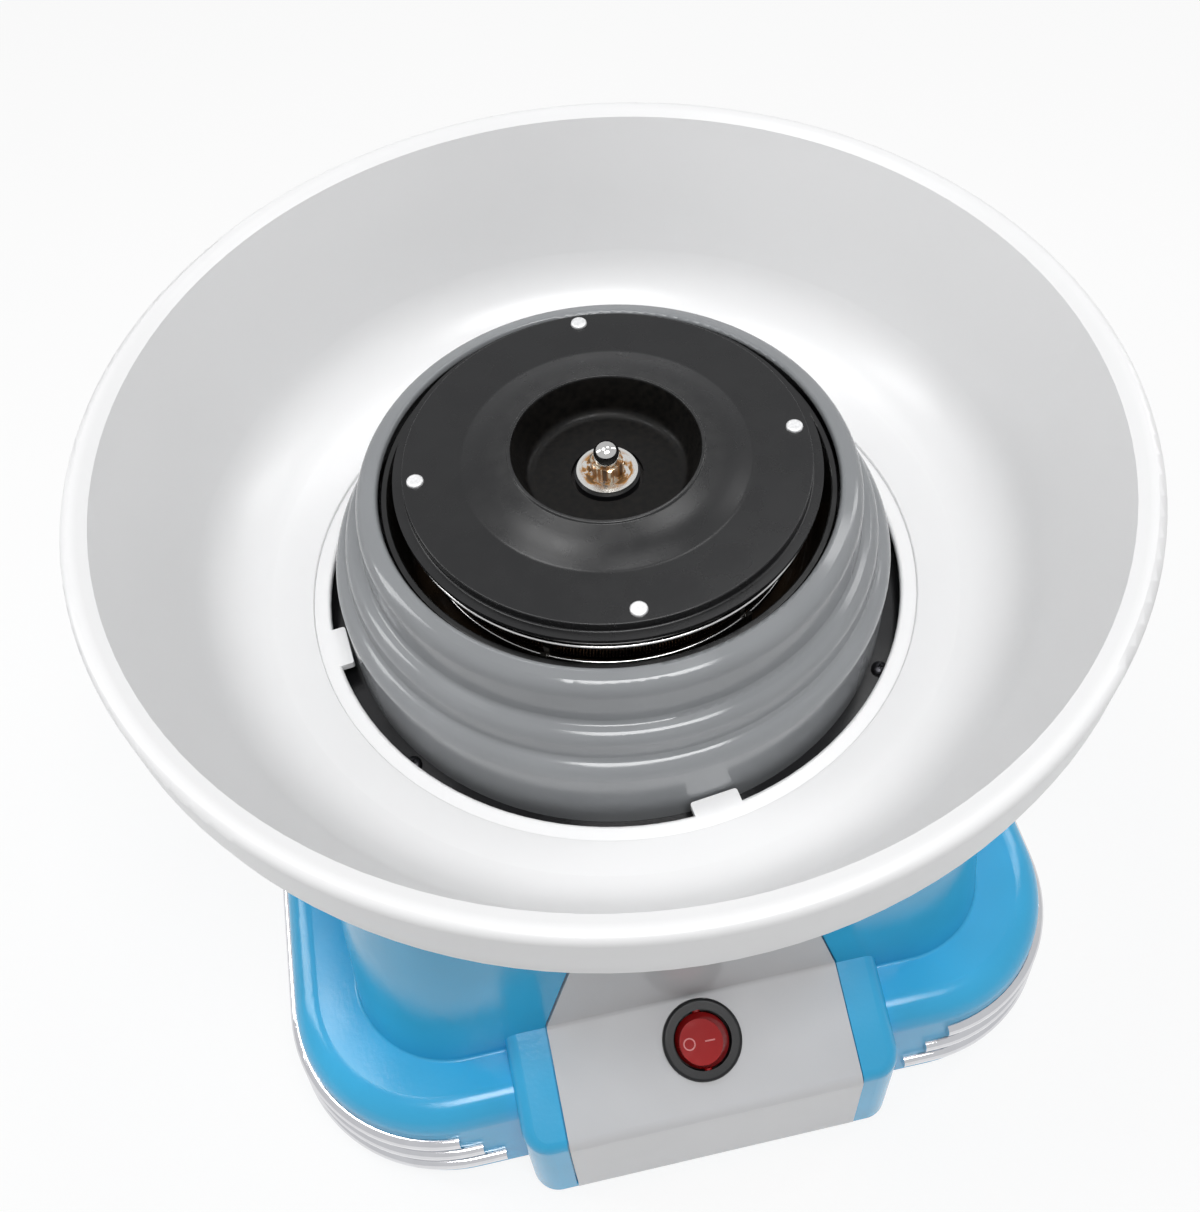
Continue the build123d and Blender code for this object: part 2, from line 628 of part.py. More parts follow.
def rocker():
    """Round rocker with a dished face and two pivot pins, leaning to its off side."""
    top = BEZEL_H + ROCKER_RISE
    low = BEZEL_H - ROCKER_SINK
    outline = [(0, low), (ROCKER_R, low), (ROCKER_R, BEZEL_H), (ROCKER_TOP_R, top), (0, top)]
    body = turned(outline, [0, ROCKER_GAP, 2 * ROCKER_GAP, ROCKER_GAP, 0])
    dish_r = (ROCKER_TOP_R ** 2 + ROCKER_DISH ** 2) / (2 * ROCKER_DISH)
    body -= Pos(0, 0, top + dish_r - ROCKER_DISH) * Rot(90, 0, 0) * Cylinder(dish_r, 4 * ROCKER_R)
    body += Pos(0, 0, PIVOT_Z) * Rot(90, 0, 0) * Cylinder(PIVOT_R, 2 * (BARREL_R - PIVOT_END))
    return Pos(0, 0, PIVOT_Z) * Rot(0, -ROCKER_TILT, 0) * Pos(0, 0, -PIVOT_Z) * body


save(SWITCH_PLANE * switch_body(), "switch_body")
save(SWITCH_PLANE * rocker(), "rocker")
blade = Pos(0, 0, -BARREL_DEPTH) * Box(BLADE_W, BLADE_T, BLADE_L, align=DOWN)
save(group([SWITCH_PLANE * Pos(i * BLADE_PITCH, 0, 0) * blade for i in (-1, 0, 1)]), "switch_blades")


# ================================================================ neck tray
def neck_tray():
    """Tray on the tower roof: bowl seat outside, roof spigot and motor bosses below."""
    rim_r = TRAY_WALL_R + TRAY_RIM_T
    spigot_in = TRAY_SPIGOT_R - WALL
    outline = [
        (TRAY_HOLE_R, TOWER_Z),
        (spigot_in, TOWER_Z),
        (spigot_in, TOWER_Z - TRAY_SPIGOT_H),
        (TRAY_SPIGOT_R, TOWER_Z - TRAY_SPIGOT_H),
        (TRAY_SPIGOT_R, TOWER_Z),
        (rim_r, TOWER_Z),
        (rim_r, SEAT_Z),
        (TRAY_WALL_R, SEAT_Z),
        (TRAY_WALL_R, TRAY_FLOOR_Z),
        (TRAY_HOLE_R, TRAY_FLOOR_Z),
    ]
    tray = turned(outline, [0, 0, 0, 0.6, 0, 1.0, 0.4, 0.4, 0.8, 0.6])
    boss = Pos(0, 0, BRACKET_TOP) * Cylinder(BRACKET_BOSS_R, BRACKET_DROP + TRAY_T / 2, align=UP)
    tray += at_corners(boss, BRACKET_REACH, BRACKET_ROW)
    bore = Pos(0, 0, BRACKET_TOP) * Cylinder(MACHINE_SCREW_R + SEAT_GAP, BRACKET_DROP, align=UP)
    tray -= at_corners(bore, BRACKET_REACH, BRACKET_ROW)
    hole = Pos(0, 0, TOWER_Z) * Cylinder(TRAY_SCREW_R + SCREW_GAP, TRAY_T, align=UP)
    return tray - tray_screw_places(hole)


save(neck_tray(), "neck_tray")
tray_screw = screw(TRAY_SCREW_R, TRAY_T + WALL + TRAY_SCREW_END, TRAY_SCREW_HEAD_R, TRAY_SCREW_HEAD_H)
save(group(tray_screw_places(Pos(0, 0, TRAY_FLOOR_Z) * Rot(180, 0, 0) * tray_screw)), "tray_screws")


# ================================================================ guard ring
def guard_ring():
    """Three-tier ring of even wall, drawn in step by step to its mouth."""
    steps = [(RING_R - draw, TRAY_FLOOR_Z + height) for draw, height, _ in RING_STEPS]
    line = [
        (RING_R - RING_DRAW, MOUTH_Z),
        *steps,
        (RING_R, TRAY_FLOOR_Z),
        (RING_R - RING_FOOT_W, TRAY_FLOOR_Z),
    ]
    rounds = [radius for _, _, radius in RING_STEPS] + [SEAT_GAP]
    outline, radii = shell_outline(line, rounds, RING_T, RING_MOUTH_ROUND)
    return turned(outline, radii)


save(guard_ring(), "guard_ring")


# ================================================================ bowl
def bowl():
    """Catching bowl: holed floor, bent wall, rolled lip, foot ring and collar."""
    hole_r = RING_R + BOWL_HOLE_GAP
    step_r = hole_r + BOWL_STEP_OUT
    floor_z = SEAT_Z + BOWL_T
    crease_z = SEAT_Z + BOWL_CREASE_H
    lip_z = crease_z + LIP_RISE
    skirt_z = lip_z - LIP_SKIRT
    skirt_in = LIP_R - BOWL_T
    foot_r = TRAY_WALL_R + TRAY_RIM_T + BOWL_FOOT_W
    collar_r = TRAY_WALL_R - FACE_GAP
    knee = (LIP_R - BOWL_KNEE_IN, SEAT_Z + BOWL_KNEE_H)
    wall = [(step_r, floor_z + BOWL_STEP_H), knee, (LIP_R - BOWL_CREASE_IN, crease_z)]
    under = offset_line(wall, BOWL_T)
    rise = (wall[1][1] - wall[0][1]) / (wall[1][0] - wall[0][0])
    outline = [
        (hole_r, floor_z),
        (step_r, floor_z),
        *wall,
        (LIP_R - LIP_CREST_IN, lip_z),
        (LIP_R, lip_z),
        (LIP_R, skirt_z),
        (LIP_R - LIP_BAND_SET, skirt_z),
        (LIP_R - LIP_BAND_SET, skirt_z - LIP_BAND),
        (skirt_in, skirt_z - LIP_BAND),
        (skirt_in, lip_z - BOWL_T),
        (under[2][0], lip_z - BOWL_T),
        under[1],
        (foot_r, under[0][1] + (foot_r - under[0][0]) * rise),
        (foot_r, SEAT_Z),
        (collar_r, SEAT_Z),
        (collar_r, SEAT_Z - COLLAR_DROP),
        (collar_r - COLLAR_T, SEAT_Z - COLLAR_DROP),
        (collar_r - COLLAR_T, SEAT_Z),
        (hole_r, SEAT_Z),
    ]
    rounds = [
        0.9, 0, 0.4, BOWL_KNEE_ROUND, 0, LIP_CREST_ROUND, LIP_ROUND, 0.3, 0, 0.5, 0.5,
        1.0, 1.0, BOWL_KNEE_ROUND + BOWL_T, 0.5, 0.3, 0.2, 0.3, 0.3, 0.3, 0.4,
    ]
    body = turned(outline, rounds)
    tab_r = RING_R + BOWL_TAB_GAP
    tab = Pos(tab_r, 0, SEAT_Z) * Box(
        collar_r - tab_r, BOWL_TAB_W, BOWL_T, align=(Align.MIN, Align.CENTER, Align.MIN)
    )
    tab = fillet(tab.edges().filter_by(Axis.Z).sort_by(Axis.X)[:2], BOWL_TAB_GAP)
    return body + around(tab, BOWL_TAB_COUNT, BOWL_TAB_ANGLE)


save(bowl(), "bowl")

# ================================================================ heater well
WELL_R = RING_R - RING_DRAW - WELL_GAP
COIL_R = WELL_R - COIL_IN
WIRE_GUARD_R = COIL_R + WIRE_OUT
SUPPORT_IN = COIL_R - COIL_WIRE_R - SUPPORT_EDGE
SUPPORT_OUT = WIRE_GUARD_R + WIRE_R + SUPPORT_EDGE


def terminal_places(part):
    """A part under each end of the coil, either side of the back."""
    reach = COIL_GAP_DEG / 2 + TERMINAL_IN
    return [Rot(0, 0, 90 + side * reach) * Pos(COIL_R, 0, 0) * part for side in (-1, 1)]


def heater_well():
    """Can with a rolled rim and a dish inside it, its hub holding the bush."""
    floor_r = SUPPORT_OUT + WELL_ROUND / 2
    bush_r = BUSH_R + SEAT_GAP / 2
    outline = [
        (WELL_R, TRAY_FLOOR_Z),
        (WELL_R, WELL_TOP_Z),
        (WELL_R - 2 * WELL_T, WELL_TOP_Z),
        (floor_r, WELL_FLOOR_Z),
        (WELL_HUB_R, WELL_FLOOR_Z),
        (WELL_HUB_R, WELL_FLOOR_Z + WELL_HUB_UP),
        (bush_r, WELL_FLOOR_Z + WELL_HUB_UP),
        (bush_r, WELL_FLOOR_Z - WELL_HUB_DOWN),
        (WELL_HUB_R, WELL_FLOOR_Z - WELL_HUB_DOWN),
        (WELL_HUB_R, WELL_FLOOR_Z - WELL_T),
        (floor_r + WELL_T, WELL_FLOOR_Z - WELL_T),
        (WELL_R - WELL_T, WELL_TOP_Z - 2 * WELL_T),
        (WELL_R - WELL_T, TRAY_FLOOR_Z),
    ]
    well = turned(outline, [0, 0.4, 0.4, WELL_ROUND, 0, 0.5, 0, 0, 0, 0, WELL_ROUND + WELL_T, 0, 0])
    hole = Pos(0, 0, WELL_FLOOR_Z) * Cylinder(INSULATOR_R + SEAT_GAP, 4 * WELL_T)
    return well - terminal_places(hole)


def coil_support():
    """Upright plate with open notches for the coil and the guard wire."""
    width = SUPPORT_OUT - SUPPORT_IN
    plate = Pos(SUPPORT_IN, 0, WELL_FLOOR_Z) * Box(
        width, SUPPORT_T, COIL_UP + SUPPORT_ABOVE, align=(Align.MIN, Align.CENTER, Align.MIN)
    )
    plate = chamfer(plate.edges().filter_by(Axis.Y).sort_by(Axis.Z)[:2].sort_by(Axis.X)[-1], SUPPORT_CHAMFER)
    for radius, wire in ((COIL_R, COIL_WIRE_R), (WIRE_GUARD_R, WIRE_R)):
        room = wire + SEAT_GAP
        notch = Rot(90, 0, 0) * Cylinder(room, 2 * SUPPORT_T) + Box(
            2 * room, 2 * SUPPORT_T, 2 * SUPPORT_ABOVE, align=UP
        )
        plate -= Pos(radius, 0, COIL_Z) * notch
    return plate


def insulator():
    """Flanged bead that takes a heater terminal through the well's floor."""
    bead = Pos(0, 0, -INSULATOR_DROP) * Cylinder(INSULATOR_R, INSULATOR_DROP, align=UP)
    bead += Cylinder(INSULATOR_R + INSULATOR_FLANGE, INSULATOR_FLANGE, align=UP)
    return bead - Cylinder(TERMINAL_R + SEAT_GAP, 4 * INSULATOR_DROP)


save(heater_well(), "heater_well")
coil_round = Plane.XZ * Pos(COIL_R, COIL_Z) * Circle(COIL_WIRE_R)
coil = Rot(0, 0, 90 + COIL_GAP_DEG / 2) * revolve(coil_round, Axis.Z, 360 - COIL_GAP_DEG)
save(coil, "heater_coil")
save(revolve(Plane.XZ * Pos(WIRE_GUARD_R, COIL_Z) * Circle(WIRE_R), Axis.Z), "wire_guard")
save(group(around(coil_support(), SUPPORT_COUNT)), "coil_supports")
rod_top = COIL_Z - COIL_WIRE_R - SEAT_GAP
rod = Pos(0, 0, rod_top) * Cylinder(TERMINAL_R, TERMINAL_DROP, align=DOWN)
save(group(terminal_places(rod)), "heater_terminals")
save(group(terminal_places(Pos(0, 0, WELL_FLOOR_Z) * insulator())), "terminal_insulators")
cutout = Pos(CUTOUT_PCR, 0, WELL_FLOOR_Z - WELL_T) * Cylinder(CUTOUT_R, CUTOUT_H, align=DOWN)
save(Rot(0, 0, CUTOUT_ANGLE) * cutout, "thermal_cutout")

# ================================================================ spindle
shoulder_z = PAN_Z - PAN_T
shaft = disc(SHAFT_R, MOTOR_Z - SHAFT_TAIL, COLLAR_Z) + Pos(0, 0, COLLAR_Z) * Sphere(SHAFT_R)
save(shaft + disc(SHOULDER_R, shoulder_z - SHOULDER_H, shoulder_z), "drive_shaft")

bush_top = WELL_FLOOR_Z + WELL_HUB_UP
bush = disc(BUSH_R, WELL_FLOOR_Z - WELL_HUB_DOWN, bush_top)
bush += disc(BUSH_FLANGE_R, bush_top, bush_top + BUSH_FLANGE_T)
save(bush - disc(SHAFT_R + RUN_GAP, 0, COLLAR_Z), "shaft_bush")

save(tube(CLAMP_R, SHAFT_R + SEAT_GAP, PAN_Z, CLAMP_Z), "clamp_disc")
save(tube(WASHER_R, SHAFT_R + SEAT_GAP, CLAMP_Z, WASHER_Z), "head_washer")
hexagon = RegularPolygon(NUT_AF / 2, 6, major_radius=False, rotation=30)
corner_cut = (NUT_AF / 2) * tan(radians(NUT_CHAMFER_DEG))
nut_limit = [(0, WASHER_Z), (NUT_AF, WASHER_Z), (NUT_AF, NUT_Z - corner_cut), (NUT_AF / 2, NUT_Z), (0, NUT_Z)]
nut = (Pos(0, 0, WASHER_Z) * extrude(hexagon, NUT_H)) & turned(nut_limit, [0] * 5)
save(nut - disc(SHAFT_R + RUN_GAP, WASHER_Z, NUT_Z), "head_nut")
save(tube(COLLAR_R, SHAFT_R + RUN_GAP, NUT_Z, COLLAR_Z), "shaft_collar")

# ================================================================ spinning head
PAN_R = WELL_R - PAN_IN
PAN_SHELF_R = PAN_R - PAN_SHELF_IN
PAN_DIP_R = PAN_SHELF_R - PAN_DIP_IN
CAP_FLANGE_R = PAN_R + CAP_OVER
CAP_FLAT_R = CAP_FLANGE_R - CAP_FLANGE_W
CONE_R = CAP_FLAT_R - CONE_IN
CRATER_R = CONE_R - CRATER_IN
RIVET_PCR = CAP_FLAT_R - CAP_T - SEAT_GAP - RIVET_BODY_R


def rivet_places(part):
    """Copies of a part at the head's rivets."""
    return around(Pos(RIVET_PCR, 0, 0) * part, RIVET_COUNT, RIVET_ANGLE)


def head_cover():
    """Pressed cap: funnel, crater lip, cone, flat and lowered flange."""
    funnel_slope = atan2(CAP_UP + CRATER_H, CRATER_R - FUNNEL_R)
    line = [
        (FUNNEL_R, PAN_Z + FUNNEL_GAP + CAP_T * cos(funnel_slope)),
        (CRATER_R, CAP_Z + CRATER_H),
        (CONE_R, CAP_Z),
        (CAP_FLAT_R, CAP_Z),
        (CAP_FLAT_R, FLANGE_Z),
        (CAP_FLANGE_R, FLANGE_Z),
    ]
    outline, radii = shell_outline(line, CAP_ROUNDS, CAP_T, CAP_ROUNDS[-1])
    hole = Pos(0, 0, CAP_Z) * Cylinder(RIVET_R + SEAT_GAP, CAP_T + SEAT_GAP, align=DOWN)
    return turned(outline, radii) - rivet_places(hole)


def sugar_pan():
    """Pan under the cap: flat hub, dipped ring, shelf and rolled rim."""
    line = [
        (SHAFT_R + SEAT_GAP, PAN_Z),
        (PAN_HUB_R, PAN_Z),
        (PAN_DIP_R, PAN_Z - PAN_DIP),
        (PAN_SHELF_R, SHELF_Z),
        (PAN_R - PAN_BEAD_R, SHELF_Z),
    ]
    outline, radii = shell_outline(line, PAN_ROUNDS, PAN_T)
    pan = turned(outline, radii)
    bead = Plane.XZ * Pos(PAN_R - PAN_BEAD_R, SHELF_Z - PAN_T / 2) * Circle(PAN_BEAD_R)
    pan += revolve(bead, Axis.Z)
    hole = Pos(0, 0, SHELF_Z) * Cylinder(RIVET_R + SEAT_GAP, 4 * PAN_T)
    return pan - rivet_places(hole)


def head_rivet():
    """Shouldered rivet: head on the cap, thick middle, head under the pan."""
    head = Cylinder(RIVET_HEAD_R, RIVET_HEAD_H, align=UP)
    under = SHELF_Z - PAN_T
    rivet = Pos(0, 0, CAP_Z) * round_top(head, RIVET_DOME)
    rivet += disc(RIVET_R, under, CAP_Z)
    rivet += disc(RIVET_BODY_R, SHELF_Z, CAP_Z - CAP_T)
    return rivet + Pos(0, 0, under - RIVET_HEAD_H) * head


save(head_cover(), "head_cover")
save(sugar_pan(), "sugar_pan")
save(group(rivet_places(head_rivet())), "head_rivets")

# ================================================================ motor
can = round_top(disc(MOTOR_R, CAN_FOOT_Z, MOTOR_Z), MOTOR_ROUND)
can += disc(MOTOR_NECK_R, MOTOR_Z, MOTOR_Z + MOTOR_NECK_H)
can -= disc(SHAFT_R + RUN_GAP, CAN_FOOT_Z, MOTOR_Z + MOTOR_NECK_H)
tapped = Pos(MOTOR_SCREW_REACH, 0, MOTOR_Z) * Cylinder(MACHINE_SCREW_R + SEAT_GAP, MOTOR_SCREW_L, align=DOWN)
save(can - around(tapped, 2), "motor_can")
end_cap = disc(MOTOR_R - END_CAP_IN, CAN_FOOT_Z - END_CAP_H, CAN_FOOT_Z)
save(round_foot(end_cap, MOTOR_ROUND), "motor_end_cap")

bracket = Pos(0, 0, MOTOR_Z) * Box(2 * BRACKET_HALF, BRACKET_W, BRACKET_T, align=UP)
bracket = fillet(bracket.edges().filter_by(Axis.Z), BRACKET_ROUND)
bracket -= disc(MOTOR_NECK_R + SCREW_GAP, MOTOR_Z, BRACKET_TOP)
clear = Pos(0, 0, MOTOR_Z) * Cylinder(MACHINE_SCREW_R + SCREW_GAP, BRACKET_T, align=UP)
bracket -= at_corners(clear, BRACKET_REACH, BRACKET_ROW)
save(bracket - around(Pos(MOTOR_SCREW_REACH, 0, 0) * clear, 2), "motor_bracket")

motor_screw = screw(MACHINE_SCREW_R, BRACKET_T + MOTOR_SCREW_L - FACE_GAP, MACHINE_HEAD_R, MACHINE_HEAD_H)
motor_screw = Pos(MOTOR_SCREW_REACH, 0, BRACKET_TOP) * Rot(180, 0, 0) * motor_screw
save(group(around(motor_screw, 2)), "motor_screws")
bracket_screw = screw(MACHINE_SCREW_R, BRACKET_T + BRACKET_DROP - FACE_GAP, MACHINE_HEAD_R, MACHINE_HEAD_H)
bracket_screw = Pos(0, 0, MOTOR_Z) * bracket_screw
save(group(at_corners(bracket_screw, BRACKET_REACH, BRACKET_ROW)), "bracket_screws")

# ================================================================ cord inlet
gland = round_top(Cylinder(GLAND_FLANGE_R, GLAND_FLANGE_T, align=UP), GLAND_FLANGE_T / 2)
gland += Cylinder(GLAND_R, GLAND_LENGTH, align=DOWN)
save(GLAND_PLANE * (gland - Cylinder(GLAND_BORE_R, 2 * GLAND_LENGTH)), "cord_gland")

block = Pos(0, BLOCK_Y, PLATE_TOP) * Box(BLOCK_LENGTH, BLOCK_WIDTH, BLOCK_HEIGHT, align=UP)
block = fillet(block.edges().filter_by(Axis.Z), BLOCK_ROUND)
pit = Pos(0, BLOCK_Y, PLATE_TOP + BLOCK_HEIGHT) * Cylinder(BLOCK_WELL_R, BLOCK_WELL_DEPTH, align=DOWN)
save(block - [Pos(i * BLOCK_WELL_PITCH, 0, 0) * pit for i in (-1, 0, 1)], "terminal_block")
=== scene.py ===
# %% [markdown]
# # A tabletop cotton candy machine
# The machine has a blue moulded base, a light panel with a rocker switch, a
# grey guard ring round a black spinning head, and a white bowl that catches
# the floss. Its solids come ready made and in place, so the work here is the
# finish of every surface and the small details that solids leave out.

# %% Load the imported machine
import json
import math

import bmesh
import bpy
from mathutils import Matrix, Vector
from mathutils.bvhtree import BVHTree


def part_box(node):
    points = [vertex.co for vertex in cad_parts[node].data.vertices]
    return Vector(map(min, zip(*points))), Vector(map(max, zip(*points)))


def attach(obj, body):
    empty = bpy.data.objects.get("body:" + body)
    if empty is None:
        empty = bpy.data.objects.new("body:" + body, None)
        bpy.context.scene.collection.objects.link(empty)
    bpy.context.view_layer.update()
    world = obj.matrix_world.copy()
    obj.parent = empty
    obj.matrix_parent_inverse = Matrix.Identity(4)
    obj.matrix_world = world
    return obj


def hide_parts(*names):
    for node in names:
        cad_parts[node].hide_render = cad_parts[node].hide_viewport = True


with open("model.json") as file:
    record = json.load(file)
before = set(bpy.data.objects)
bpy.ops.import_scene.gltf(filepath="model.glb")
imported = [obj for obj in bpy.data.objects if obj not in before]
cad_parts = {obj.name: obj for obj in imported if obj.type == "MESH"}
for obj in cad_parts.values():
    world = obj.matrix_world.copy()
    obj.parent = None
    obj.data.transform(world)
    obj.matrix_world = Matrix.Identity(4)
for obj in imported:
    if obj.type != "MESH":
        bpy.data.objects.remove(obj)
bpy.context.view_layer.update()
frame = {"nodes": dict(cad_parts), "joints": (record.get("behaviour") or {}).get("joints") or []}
MM = 0.001

# %% [markdown]
# ## Helpers for nodes
# A finish is a small graph of nodes. One helper adds a node and wires or sets
# its inputs by name, so that each finish below reads as a short recipe. All
# patterns read Object coordinates, which are metres on the real machine, so a
# grain size can be given in millimetres. UV maps or painted images could carry
# the patterns too, but they would need unwrapping and have a fixed sharpness.

# %% Add one node
def put(tree, kind, settings=None, **inputs):
    """Add a node by its full type, set its options, and wire or set its inputs."""
    node = tree.nodes.new(kind)
    for option, value in (settings or {}).items():
        setattr(node, option, value)
    for name, value in inputs.items():
        socket = node.inputs[name.replace("_", " ")]
        if isinstance(value, bpy.types.NodeSocket):
            tree.links.new(value, socket)
        else:
            socket.default_value = value
    return node


def add(tree, kind, settings=None, **inputs):
    """Add a shader node by the short name of its type."""
    return put(tree, "ShaderNode" + kind, settings, **inputs)


def start_finish(name, **sockets):
    """New material; returns it, its node tree, its shader and object coordinates."""
    material = bpy.data.materials.new(name)
    material.use_nodes = True
    tree = material.node_tree
    shader = tree.nodes["Principled BSDF"]
    for socket, value in sockets.items():
        shader.inputs[socket.replace("_", " ")].default_value = value
    place = add(tree, "TexCoord").outputs["Object"]
    return material, tree, shader, place


print("node helpers ready")


# %% Patterns that most finishes use
def spots(tree, place, size, detail=2.0):
    """Soft noise whose spots are about so many millimetres across."""
    return add(tree, "TexNoise", Vector=place, Scale=1 / (size * MM), Detail=detail).outputs[0]


def between(tree, factor, low, high, start=0.3, end=0.7):
    """Number that runs from low to high as a factor runs from start to end."""
    smooth = {"interpolation_type": "SMOOTHSTEP"}
    source = {"Value": factor, "From_Min": start, "From_Max": end}
    return add(tree, "MapRange", smooth, **source, To_Min=low, To_Max=high).outputs[0]


def shades(tree, factor, *stops):
    """Colour ramp through (position, (r, g, b)) stops."""
    node = add(tree, "ValToRGB", Fac=factor)
    ramp = node.color_ramp
    while len(ramp.elements) < len(stops):
        ramp.elements.new(1.0)
    for element, (position, colour) in zip(ramp.elements, stops):
        element.position = position
        element.color = (*colour, 1.0)
    return node.outputs[0]


def relief(tree, height, depth, **under):
    """Bump of so many millimetres, on top of another bump given as Normal."""
    return add(tree, "Bump", Height=height, Strength=1.0, Distance=depth * MM, **under).outputs[0]


def math_of(tree, operation, *values):
    """One step of arithmetic."""
    node = add(tree, "Math", {"operation": operation})
    for socket, value in zip(node.inputs, values):
        if isinstance(value, bpy.types.NodeSocket):
            tree.links.new(value, socket)
        else:
            socket.default_value = value
    return node.outputs[0]


def scaled(colour, factor):
    """Colour made lighter or darker."""
    return tuple(min(1.0, channel * factor) for channel in colour)


def dress(tree, shader, **sources):
    """Wire outputs to the shader's sockets of those names."""
    for name, output in sources.items():
        tree.links.new(output, shader.inputs[name.replace("_", " ")])


print("pattern helpers ready")


# %% [markdown]
# ## Moulded plastics
# Every moulded piece shares the same build: a base colour that drifts a
# little, a gloss that is smudged here and there by handling, and a very
# shallow grain left by the mould. Each could have a graph of its own, but
# only the colour, the gloss and the grain differ, so one recipe makes them all.

# %% Recipe for moulded plastic
TONE_SIZE, WEAR_SIZE, SWAY_SIZE = 40, 14, 9


def moulded(name, colour, gloss, grain, depth, smudge=0.06, drift=0.06, specular=0.5, sway=0.02):
    """Plastic with drifting colour, smudged gloss, fine grain and a broad sway."""
    material, tree, shader, place = start_finish(name, Specular_IOR_Level=specular)
    dark, light = scaled(colour, 1 - drift), scaled(colour, 1 + drift)
    wave = relief(tree, spots(tree, place, SWAY_SIZE, 0), sway)
    dress(
        tree, shader,
        Base_Color=shades(tree, spots(tree, place, TONE_SIZE), (0.35, dark), (0.65, light)),
        Roughness=between(tree, spots(tree, place, WEAR_SIZE, 4), gloss, gloss + smudge),
        Normal=relief(tree, spots(tree, place, grain, 1), depth, Normal=wave),
    )
    return material


print("recipe for moulded plastic ready")


# %% The plastics of this machine
BLUE = moulded("blue_shell", (0.040, 0.450, 0.780), 0.15, 1.1, 0.020)
WHITE = moulded(
    "white_bowl", (0.875, 0.875, 0.878), 0.28, 2.0, 0.002, smudge=0.01, drift=0.004, sway=0.0
)
PANEL = moulded("panel_grey", (0.66, 0.66, 0.67), 0.12, 0.9, 0.005, drift=0.02, sway=0.006)
RING = moulded("ring_grey", (0.25, 0.26, 0.27), 0.11, 1.4, 0.006, drift=0.04)
TRAY = moulded("tray_black", (0.010, 0.010, 0.011), 0.16, 0.8, 0.008, specular=0.4)
BLACK = moulded("fittings_black", (0.011, 0.011, 0.012), 0.30, 0.5, 0.012, specular=0.28)
PLATE = moulded("plate_black", (0.014, 0.014, 0.015), 0.42, 0.7, 0.03, specular=0.35)
BLOCK = moulded("block_white", (0.72, 0.71, 0.66), 0.40, 0.8, 0.01)
print("plastics ready")

# %% [markdown]
# ## Rubber feet and the red rocker
# Rubber is dull and finely pitted. The rocker is clear red plastic over a
# dark socket. Full transmission would show that its inside is empty, so the
# red lies in the surface, under a thin clear coat, and it deepens where the
# surface turns away, as tinted plastic does where it is thick.

# %% Rubber and red plastic
def rubber():
    """Dull pitted rubber."""
    material, tree, shader, place = start_finish("foot_rubber", Specular_IOR_Level=0.25)
    dark, light = (0.012,) * 3, (0.028,) * 3
    dress(
        tree, shader,
        Base_Color=shades(tree, spots(tree, place, 6, 4), (0.3, dark), (0.7, light)),
        Roughness=between(tree, spots(tree, place, 3, 3), 0.62, 0.85),
        Normal=relief(tree, spots(tree, place, 0.5, 3), 0.06),
    )
    return material


def clear_red():
    """Tinted clear plastic whose red deepens where it turns away."""
    coat = {"Coat_Weight": 0.08, "Coat_Roughness": 0.05}
    material, tree, shader, place = start_finish("rocker_red", Specular_IOR_Level=0.35, **coat)
    turned = add(tree, "LayerWeight", Blend=0.35).outputs["Facing"]
    bright, deep = (0.40, 0.010, 0.010), (0.16, 0.002, 0.003)
    dress(
        tree, shader,
        Base_Color=shades(tree, turned, (0.0, bright), (0.7, deep)),
        Roughness=between(tree, spots(tree, place, 2.5, 2), 0.08, 0.16),
        Normal=relief(tree, spots(tree, place, 3.0, 1), 0.01),
    )
    return material


RUBBER = rubber()
RED = clear_red()
print("rubber and red plastic ready")

# %% [markdown]
# ## Metals
# Sheet and turned metal differ in how the tool passed over them. A turned or
# spun piece carries fine rings round the spin axis, a plated strip is nearly
# a mirror with faint waves, and cast or stamped metal is mottled. An
# anisotropic shader could draw the turned rings as a smear of light. Here they
# are a wave along the distance from the axis, which also shows from close by.

# %% Recipe for metal
def metal(name, colour, gloss, smudge=0.08, mottle=0.08, size=3.0, depth=0.004):
    """Metal with mottled tone and roughness."""
    material, tree, shader, place = start_finish(name, Metallic=1.0)
    tone = spots(tree, place, size, 4)
    dark, light = scaled(colour, 1 - mottle), scaled(colour, 1 + mottle)
    dress(
        tree, shader,
        Base_Color=shades(tree, tone, (0.3, dark), (0.7, light)),
        Roughness=between(tree, spots(tree, place, size * 2, 3), gloss, gloss + smudge),
        Normal=relief(tree, tone, depth),
    )
    return material


def from_axis(tree, place):
    """Distance from the spin axis, and the angle round it."""
    split = add(tree, "SeparateXYZ", Vector=place)
    x, y = split.outputs[0], split.outputs[1]
    squares = (math_of(tree, "MULTIPLY", part, part) for part in (x, y))
    reach = math_of(tree, "SQRT", math_of(tree, "ADD", *squares))
    return reach, math_of(tree, "ARCTAN2", y, x)


def height_of(tree, place):
    """Height above the table."""
    return add(tree, "SeparateXYZ", Vector=place).outputs[2]


def turned_rings(tree, reach, pitch):
    """Wave along the radius, so many millimetres from ring to ring."""
    return math_of(tree, "SINE", math_of(tree, "MULTIPLY", reach, math.tau / (pitch * MM)))


def turned_metal(name, colour, gloss, pitch, depth):
    """Metal with fine rings round the spin axis."""
    material, tree, shader, place = start_finish(name, Metallic=1.0)
    reach, _ = from_axis(tree, place)
    tone = spots(tree, place, 4, 4)
    dress(
        tree, shader,
        Base_Color=shades(tree, tone, (0.3, scaled(colour, 0.85)), (0.7, colour)),
        Roughness=between(tree, tone, gloss, gloss + 0.1),
        Normal=relief(tree, turned_rings(tree, reach, pitch), depth),
    )
    return material


print("recipes for metal ready")


